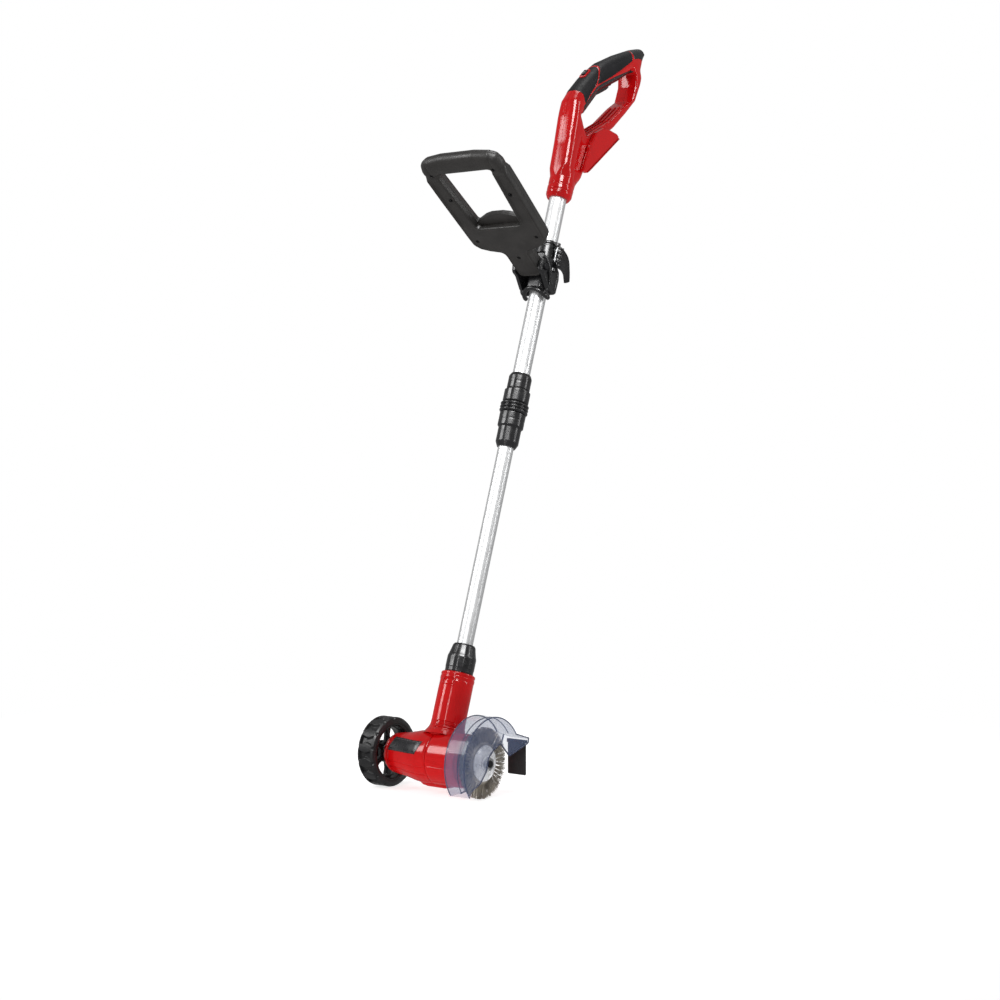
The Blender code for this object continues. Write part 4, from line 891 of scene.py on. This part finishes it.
# ---- Head: barrel, neck and label ----
def build_head():
    motor = rounded_profile([
        (-0.0002, 0.0300), (-0.0002, 0.0376), (-0.0008, 0.0382), (-0.0200, 0.0380),
        (-0.0320, 0.0364), (-0.0540, 0.0318), (-0.0745, 0.0290), (-0.0760, 0.0276),
        (-0.0780, 0.0276), (-0.0790, 0.0283), (-0.0830, 0.0262), (-0.0872, 0.0220),
        (-0.0885, 0.0170), (-0.0885, 0.0060), (-0.0845, 0.0060), (-0.0830, 0.0200),
        (-0.0540, 0.0260)], 0.0012, 0.0014)

    def motor_skin(a, r, q):
        front = sector(q, 196, 300, 1.2) * band(a, -0.0725, -0.0030, 0.0008)
        spine = sector(q, 301, 334, 1.0) * band(a, -0.0725, -0.0080, 0.0010)
        back = sector(q, 60, 140, 1.2) * band(a, -0.0725, -0.0030, 0.0008)
        vents = back * (np.cos(a * 2 * math.pi / 0.0062) > 0.25) * sector(q, 72, 108, 0.8)
        grooves = creases(q, (284, 301, 322)) * band(a, -0.0735, -0.0020, 0.0008)
        out = (r + 0.0007 * front + 0.0004 * spine + 0.0006 * back - 0.0016 * vents
               - 0.0011 * grooves)
        return np.where(r > 0.0269, out, r)
    lathe("barrel_motor_half", motor, 240, SPINDLE, RED, "head", shape=motor_skin,
          nodes=("motor_housing",), sharp=42)

    gear = rounded_profile([
        (0.0002, 0.0300), (0.0480, 0.0300), (0.0565, 0.0280), (0.0565, 0.0332), (0.0552, 0.0346),
        (0.0530, 0.0354), (0.0516, 0.0352), (0.0508, 0.0362), (0.0490, 0.0374),
        (0.0400, 0.0379), (0.0010, 0.0382), (0.0002, 0.0376)], 0.0012, 0.0014)

    def gear_skin(a, r, q):
        front = sector(q, 196, 262, 1.2) * band(a, 0.0030, 0.0440, 0.0008)
        lower = band(q, math.radians(268) + 4.0 * a, math.radians(334), math.radians(1.2))
        lower = lower * band(a, 0.0030, 0.0440, 0.0010)
        back = sector(q, 30, 150, 1.2) * band(a, 0.0030, 0.0440, 0.0008)
        ring = np.exp(-((a - 0.0470) / 0.0006) ** 4)
        grooves = creases(q, (280, 318)) * band(a, 0.0020, 0.0450, 0.0008)
        out = r + 0.0006 * (front + lower + back) - 0.0006 * ring - 0.0010 * grooves
        return np.where(r > 0.0330, out, r)
    lathe("barrel_gear_half", gear, 240, SPINDLE, RED, "head", shape=gear_skin,
          nodes=("gear_housing",), sharp=42)
    for k, q in enumerate((20, 68, 112, 160, 204, 250, 292, 338)):
        a = math.radians(q)
        path = [(math.cos(a) * r, math.sin(a) * r, x) for r, x in (
            (0.0366, 0.0475), (0.0352, 0.0530), (0.0338, 0.0562))]
        rod("gear_rib_%d" % k, path, 0.0012, SPINDLE, RED, "head")

    boss = rounded_profile([(0.0, 0.0028), (0.0, 0.0062), (0.0006, 0.0072), (0.0052, 0.0078),
                            (0.0052, 0.0028)], 0.0006, 0.0008)
    low = HEAD @ Matrix.Translation((0.009, 0.004, -0.0412)) @ Matrix.Diagonal((1.3, 1.0, 1, 1))
    lathe("screw_boss", boss, 40, low, RED, "head")
    x0, x1 = -0.020, 0.022
    for name, turn in (("barrel_plinth_front", 342), ("barrel_plinth_back", 22)):
        q = math.radians(turn)
        path = [(math.cos(q) * (r - 0.0008), math.sin(q) * (r - 0.0008), x) for x, r in (
            (x0 - 0.004, 0.0340), (x0, 0.0362), (x0 + 0.006, 0.0372), (x1 - 0.004, 0.0374),
            (x1, 0.0366), (x1 + 0.003, 0.0345))]
        rod(name, path, 0.0052, SPINDLE, RED, "head", sides=14)

    def barrel_radius(x):
        return float(np.interp(x, (-0.0790, -0.0745, -0.0540, -0.0320, -0.0200, 0.0),
                               (0.0283, 0.0290, 0.0318, 0.0364, 0.0380, 0.0382))) + 0.0007

    columns, levels = 40, 16
    for name, inset, lift, look in (("label_plate", 0.0, 0.0006, LABEL),
                                    ("label_border", 0.0016, 0.00075, LABEL_MARK),
                                    ("label_field", 0.0021, 0.0009, LABEL)):
        verts = []
        for layer in (lift, lift - 0.0009):
            for i in range(columns + 1):
                for j in range(levels + 1):
                    v = j / levels
                    left = (-0.0740 + 0.0060 * v) + inset
                    right = (-0.0185 + 0.0085 * v) - inset
                    x = left + (right - left) * i / columns
                    z = 0.0085 + inset * 0.8 + (0.0175 - inset * 1.6) * v
                    r = barrel_radius(x) + layer
                    verts.append((x, -math.sqrt(r * r - z * z), z))
        make(name, verts, sheet_faces(columns + 1, levels + 1), HEAD, look, "head",
             nodes=("name_plate",) if name == "label_plate" else ())

    neck = rounded_profile([
        (0.0300, 0.0120), (0.1408, 0.0120), (0.1408, 0.0172), (0.1400, 0.0180), (0.1220, 0.0180),
        (0.1214, 0.0232), (0.1206, 0.0244), (0.1178, 0.0246), (0.1170, 0.0239), (0.1158, 0.0239),
        (0.1150, 0.0246), (0.1112, 0.0246), (0.1100, 0.0241), (0.0900, 0.0243), (0.0500, 0.0244),
        (0.0440, 0.0250), (0.0395, 0.0268), (0.0300, 0.0330)], 0.0009, 0.0014)

    def neck_skin(a, r, q):
        wide = sector(q, 236, 360, 1.5)
        wide = np.maximum(wide, 1 - smooth_step(q, math.radians(6), math.radians(7.5)))
        step = sector(q, 222, 234, 1.0) * band(a, 0.0440, 0.1000, 0.0010)
        panel = wide * band(a, 0.0440, 0.1090, 0.0010)
        back = sector(q, 60, 170, 1.5) * band(a, 0.0440, 0.1090, 0.0010)
        louvre = sector(q, 268, 330, 1.0) * band(a, 0.0350, 0.0500, 0.0006)
        slats = louvre * (np.cos(a * 2 * math.pi / 0.0048) > 0.0)
        out = r + 0.0006 * (panel + back) - 0.0009 * step - 0.0014 * slats
        return np.where(r > 0.0230, out, r)
    lathe("neck_shell", neck, 240, POLE, RED, "head", shape=neck_skin, nodes=("neck",), sharp=42)
    saddle = [(math.cos(a) * 0.0262, math.sin(a) * 0.0262,
               math.sqrt(max(0.0, 0.0388 ** 2 - (math.sin(a) * 0.0262) ** 2)) + 0.0006)
              for a in [2 * math.pi * i / 72 for i in range(73)]]
    rod("neck_saddle_bead", saddle, 0.0014, POLE, RED, "head", sides=10)

    window = POLE @ Matrix.Rotation(math.radians(279), 4, "Z") @ Matrix.Translation(
        (0.0232, 0, 0.1070))
    ring = Flat(rectangle(10, 5.8, 0.0030), [rectangle(8.2, 4.1, 0.0018, 3)],
                rows=(0.0004, 0.0009), spacing=0.0018)
    top = ring.rounded(0.0026, 0.0010)
    curl = 0.0235 - np.sqrt(np.clip(0.0235 ** 2 - ring.points[:, 0] ** 2, 0, None))
    verts, faces = ring.solid(0, top - curl, np.full(len(top), -0.0010) - curl)
    make("clip_window", upright(verts), faces, window, RED, "head")
    clip = Flat(rectangle(5.9, 2.8, 0.0006, 3), rows=(0.0005,), spacing=0.0015)
    ramp = clip.rounded(0.0012, 0.0004) + 0.12 * clip.points[:, 1]
    verts, faces = clip.solid(0, ramp, np.full(len(ramp), -0.0010))
    make("clip_tongue", upright(verts), faces, window, RED, "head")


# ---- Wheel ----
TREADS = 14


def build_wheel():
    low, high = box_x("wheel_tyre")
    mid = (low + high) / 2
    half = (high - low) / 2
    profile = rounded_profile([
        (mid - half + 0.0008, 0.0406), (mid - half, 0.0425), (mid - half, 0.0440),
        (mid - half + 0.0015, 0.0483), (mid - half + 0.0042, 0.0500), (mid, 0.0500),
        (mid + half - 0.0042, 0.0500), (mid + half - 0.0015, 0.0483), (mid + half, 0.0440),
        (mid + half, 0.0425), (mid + half - 0.0008, 0.0406)], 0.0014, 0.0010)

    def tread(a, r, q):
        v = np.abs(a - mid) / half
        phase = np.abs(((q * TREADS / (2 * math.pi)) % 1.0) - 0.5)
        wide = 0.13 + 0.25 * v
        bow = (1 - smooth_step(phase, wide - 0.04, wide + 0.04)) * band(v, -1.0, 0.66, 0.06)
        notch = (1 - smooth_step(np.abs(phase - 0.5), 0.05, 0.10)) * band(v, 0.80, 2.0, 0.05)
        wall = np.exp(-((r - 0.0455) / 0.0006) ** 2)
        return r - 0.0038 * bow * (r > 0.0480) - 0.0026 * notch * (r > 0.0470) - 0.0004 * wall
    lathe("tyre_tread", profile[::-1], TREADS * 26, SPINDLE, TYRE, "wheel", shape=tread,
          nodes=("wheel_tyre",), sharp=50)

    inner = high - 0.0012
    outer = low + 0.0012
    web = (inner + outer) / 2
    rim = rounded_profile([
        (inner, 0.0402), (outer, 0.0402), (outer, 0.0388), (outer + 0.0020, 0.0372),
        (web - 0.0030, 0.0362), (web - 0.0026, 0.0350), (web + 0.0026, 0.0350),
        (web + 0.0030, 0.0362), (inner - 0.0020, 0.0372), (inner, 0.0388)], 0.0006, 0.0016)
    lathe("rim_band", rim, 96, SPINDLE, BLACK, "wheel", nodes=("wheel_rim",))
    hub = rounded_profile([
        (low + 0.0078, 0.0043), (low + 0.0078, 0.0118), (web - 0.0040, 0.0135),
        (web - 0.0025, 0.0165), (web + 0.0025, 0.0165), (web + 0.0040, 0.0135),
        (-0.0892, 0.0118), (-0.0892, 0.0043)], 0.0006, 0.0012)
    lathe("rim_hub", hub, 64, SPINDLE, BLACK, "wheel")
    for k in range(6):
        turn = math.radians(60 * k)
        spoke = Flat(fillet(mm([(14.5, -4.6), (24, -3.4), (35.8, -6.2), (35.8, 6.2), (24, 3.4),
                                (14.5, 4.6)]), 0.0020, 3), rows=(0.0005, 0.0011), spacing=0.0024)
        dish = 0.0010 * smooth_step(spoke.rim, 0.0012, 0.0018)
        top = spoke.rounded(0.0034, 0.0012) - dish
        verts, faces = spoke.solid(0, top, -top)
        place = SPINDLE @ Matrix.Translation((0, 0, web)) @ Matrix.Rotation(turn, 4, "Z")
        make("rim_spoke_%d" % k, verts, faces, place, BLACK, "wheel")


# ---- Brush ----
TUFTS = 44
WIRES_IN_TUFT = 44
WIRE_SEED = 7
WIRE_R = 0.00026
WIRE_ROOT = 0.0235     # radius at which the wires leave the core
BRUSH_R = 0.0500


def build_brush():
    rng = random.Random(WIRE_SEED)
    low, high = box_x("wire_bristles")
    mid = (low + high) / 2
    core = rounded_profile([(mid - 0.0022, 0.0120), (mid + 0.0022, 0.0120), (mid + 0.0026, 0.0270),
                            (mid + 0.0012, 0.0300), (mid - 0.0012, 0.0300),
                            (mid - 0.0026, 0.0270)], 0.0006, 0.0016)
    lathe("bristle_core", core, 72, SPINDLE, WIRE, "brush", nodes=("wire_bristles",))
    verts = []
    faces = []
    for tuft in range(TUFTS):
        centre = 2 * math.pi * tuft / TUFTS
        for _ in range(WIRES_IN_TUFT):
            start = centre + rng.gauss(0, 0.024)
            end = centre + rng.gauss(0, 0.044)
            x0 = mid + rng.uniform(-0.0022, 0.0022)
            x1 = mid + rng.uniform(-0.0036, 0.0036)
            tip = BRUSH_R - min(0.003, abs(rng.gauss(0, 0.0008)))
            wave = rng.uniform(-0.0009, 0.0009)
            lean = rng.uniform(0.0, 2 * math.pi)
            base = len(verts)
            for i in range(5):
                u = i / 4
                r = WIRE_ROOT + (tip - WIRE_ROOT) * u
                a = start + (end - start) * u + wave / r * math.sin(3 * math.pi * u)
                x = x0 + (x1 - x0) * u
                for k in range(3):
                    t = lean + 2 * math.pi * k / 3
                    verts.append((r * math.cos(a) - WIRE_R * math.cos(t) * math.sin(a),
                                  r * math.sin(a) + WIRE_R * math.cos(t) * math.cos(a),
                                  x + WIRE_R * math.sin(t)))
            for i in range(4):
                for k in range(3):
                    n = (k + 1) % 3
                    faces.append([base + i * 3 + k, base + i * 3 + n,
                                  base + (i + 1) * 3 + n, base + (i + 1) * 3 + k])
            faces.append([base + 2, base + 1, base])
            faces.append([base + 12, base + 13, base + 14])
    make("bristle_wires", verts, [f[::-1] for f in faces], SPINDLE, WIRE, "brush")

    for node, name, out in (("brush_plate_outer", "plate_outer", 1),
                            ("brush_plate_inner", "plate_inner", -1)):
        low, high = box_x(node)
        near, far = (low, high) if out > 0 else (high, low)
        thick = abs(far - near)
        profile = [(near + out * 0.0006, 0.0052), (near + out * 0.0006, 0.0170),
                   (near, 0.0190), (near, 0.0250)]
        for i in range(30):
            u = i / 29
            r = 0.0250 - 0.0100 * u
            crown = 0.0016 + (thick - 0.0016) * smooth_step(u, 0.35, 1.0)
            ripple = 0.00022 * math.cos(2 * math.pi * u * 5)
            profile.append((near + out * (float(crown) - 0.00025 + ripple), r))
        profile += [(far, 0.0148), (far, 0.0135), (far - out * 0.0006, 0.0128),
                    (far - out * 0.0006, 0.0098), (far, 0.0092), (far, 0.0052)]
        ring = profile if out > 0 else profile[::-1]
        lathe(name, ring[::-1], 96, SPINDLE, ZINC, "brush", nodes=(node,))


# ---- Guard and flap ----
GUARD_R = 0.06595
GUARD_FROM, GUARD_TO = 217, 33     # degrees, from the front edge over the top to the tail
GUARD_WALL = 0.0025
TAIL = (0.085, 0.027)


def build_guard():
    low, high = box_x("brush_guard")
    wall = GUARD_WALL
    rim = arc(GUARD_R, GUARD_FROM, GUARD_TO, 60)
    inner_rim = arc(GUARD_R - wall, GUARD_TO, GUARD_FROM, 60)
    face_edge = fillet(mm([(84.5, 26.5), (84.0, 19.0), (70, 15.5), (38, 7.0), (18, 27.0),
                           (2, 20.0), (-10, 10.0), (-15, -8.0), (-28, -22.0), (-47, -30.0)]),
                       0.006, 4, closed=False)
    back_edge = fillet(mm([(70, 30), (62, 12), (38, -14), (22, -34), (-30, -39.2)]), 0.008, 4,
                       closed=False)
    strip = Flat(rim + [TAIL, (TAIL[0], TAIL[1] - wall)] + inner_rim, spacing=0.004)
    verts, faces = strip.solid(0, np.full(len(strip.points), high - wall),
                               np.full(len(strip.points), low + wall))
    make("guard_rim", upright(verts), faces, HEAD, SMOKE, "head", nodes=("brush_guard",))
    front = Flat(rim + face_edge, rows=(0.0006, 0.0014), spacing=0.0050)
    top = high - 0.0014 + front.rounded(0.0014, 0.0012)
    verts, faces = front.solid(0, top, np.full(len(top), high - wall))
    make("guard_front", upright(verts), faces, HEAD, SMOKE, "head")
    back = Flat(rim + back_edge, [circle(0.0168, 40)], rows=(0.0006, 0.0014), spacing=0.0050)
    base = low + 0.0012 - back.rounded(0.0012, 0.0010)
    verts, faces = back.solid(0, np.full(len(base), low + wall), base)
    make("guard_wall", upright(verts), faces, HEAD, SMOKE, "head")
    lip = arc(GUARD_R - 0.0010, GUARD_FROM, GUARD_TO, 60)
    for name, line, x, size in (
            ("guard_lip_face", face_edge, high - 0.0013, 0.0011),
            ("guard_lip_rim", lip + [(0.0842, 0.0262)], high - 0.0012, 0.0009),
            ("guard_lip_wall", back_edge, low + 0.0013, 0.0011),
            ("guard_lip_back", lip, low + 0.0012, 0.0009),
            ("guard_rib_rim", arc(GUARD_R - 0.0022, 212, 34, 60), (low + high) / 2 + 0.004,
             0.0007)):
        rod(name, [(x, y, z) for y, z in line], size, HEAD, SMOKE_EDGE, "head", sides=8)
    low_corner, high_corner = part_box("splash_flap")
    middle = (low_corner + high_corner) / 2
    wide = (high_corner.x - low_corner.x) / 2
    tall = high_corner.z - low_corner.z
    flap = Flat(fillet([(-wide, 0.0), (wide, 0.0), (wide, tall), (-wide, tall)], 0.0022, 4),
                rows=(0.0005, 0.0011), spacing=0.0022)
    ribs = 0.00045 * np.clip(np.cos(flap.points[:, 0] * 2 * math.pi / 0.0052), 0, 1)
    half = flap.rounded(0.0011, 0.0009) + ribs * smooth_step(flap.rim, 0.0006, 0.0022)
    verts, faces = flap.solid(0, half, -half)
    centre = Matrix.Translation((middle.x, middle.y, low_corner.z))
    make("flap_sheet", [(a, -h, b) for a, b, h in verts], faces, centre, FLAP, "head",
         nodes=("splash_flap",))


build_head()
build_wheel()
build_brush()
build_guard()


# ---- Looks of the CAD nodes that stay ----
for look, node_names in NODE_LOOKS.items():
    for node_name in node_names:
        mesh = frame["nodes"][node_name].data
        mesh.materials.clear()
        mesh.materials.append(look)
        for polygon in mesh.polygons:
            polygon.material_index = 0


# ---- Camera, floor and light ----
FLOOR_Z = AXLE.z - 0.050           # the wheel's radius below its axle
FLOOR_HALF = 14
SHADED, WHITE = 0.45, 1.10         # reach of the shaded floor and start of the plain white
CAMERA_AT = (1.65093, -2.500448, -0.574521)
CAMERA_TURN = (90 - 1.877, 0.0, 36.70)
CAMERA_LENS = 68.03
scene = bpy.context.scene
camera = bpy.data.objects.new("camera", bpy.data.cameras.new("camera"))
scene.collection.objects.link(camera)
camera.location = CAMERA_AT
camera.rotation_euler = [math.radians(turn) for turn in CAMERA_TURN]
camera.data.lens = CAMERA_LENS
camera.data.sensor_width = 36.0
camera.data.clip_end = 60.0
scene.camera = camera
scene.view_settings.view_transform = "Standard"

floor_mesh = bpy.data.meshes.new("floor")
floor_mesh.from_pydata([(x * FLOOR_HALF, y * FLOOR_HALF, 0) for x, y in (
    (-1, -1), (1, -1), (1, 1), (-1, 1))], [], [(0, 1, 2, 3)])
floor = bpy.data.objects.new("floor", floor_mesh)
floor.location = (AXLE.x, AXLE.y, FLOOR_Z)
floor.visible_glossy = False
scene.collection.objects.link(floor)
floor_look = bpy.data.materials.new("floor")
floor_look.use_nodes = True
tree = floor_look.node_tree
shaded = set_inputs(tree.nodes["Principled BSDF"], Base_Color=(0.60, 0.60, 0.60, 1), Roughness=0.9,
                    Emission_Color=(1, 1, 1, 1), Emission_Strength=0.74, Specular_IOR_Level=0.1)
spot = add_node(tree, "TexCoord")
reach = add_node(tree, "VectorMath")
reach.operation = "LENGTH"
fade = add_node(tree, "MapRange", From_Min=SHADED, From_Max=WHITE)
white = add_node(tree, "Emission", Strength=1.0)
blend = add_node(tree, "MixShader")
tree.links.new(spot.outputs["Object"], reach.inputs[0])
tree.links.new(reach.outputs["Value"], fade.inputs["Value"])
tree.links.new(fade.outputs["Result"], blend.inputs["Fac"])
tree.links.new(shaded.outputs["BSDF"], blend.inputs[1])
tree.links.new(white.outputs["Emission"], blend.inputs[2])
tree.links.new(blend.outputs["Shader"], tree.nodes["Material Output"].inputs["Surface"])
floor_mesh.materials.append(floor_look)

world = bpy.data.worlds.new("studio")
world.use_nodes = True
tree = world.node_tree
sky = set_inputs(tree.nodes["Background"], Color=(1, 1, 1, 1), Strength=0.30)
backdrop = add_node(tree, "Background", Color=(1, 1, 1, 1), Strength=1.0)
ray = add_node(tree, "LightPath")
choice = add_node(tree, "MixShader")
tree.links.new(ray.outputs["Is Camera Ray"], choice.inputs["Fac"])
tree.links.new(sky.outputs["Background"], choice.inputs[1])
tree.links.new(backdrop.outputs["Background"], choice.inputs[2])
tree.links.new(choice.outputs["Shader"], tree.nodes["World Output"].inputs["Surface"])
scene.world = world


def softbox(name, location, target, width, height, power):
    """A rectangular area lamp that faces its target."""
    lamp = bpy.data.lights.new(name, "AREA")
    lamp.shape = "RECTANGLE"
    lamp.size = width
    lamp.size_y = height
    lamp.energy = power
    obj = bpy.data.objects.new(name, lamp)
    scene.collection.objects.link(obj)
    obj.location = location
    obj.rotation_euler = (Vector(target) - Vector(location)).to_track_quat("-Z", "Y").to_euler()
    return obj


softbox("key", (-1.9, -2.4, 0.9), (0, -0.1, -0.4), 0.9, 1.6, 44)
softbox("strip", (0.55, -2.7, 0.1), (0, -0.1, -0.3), 0.10, 2.8, 16)
softbox("rim", (2.6, 0.9, 0.6), (0, -0.1, -0.4), 0.5, 2.2, 26)
softbox("streak", (2.05, -2.60, 2.9), (0, 0, 0), 2.0, 1.7, 260).visible_diffuse = False
softbox("top", (0.0, 0.2, 2.2), (0, -0.2, -0.5), 1.2, 1.2, 22)
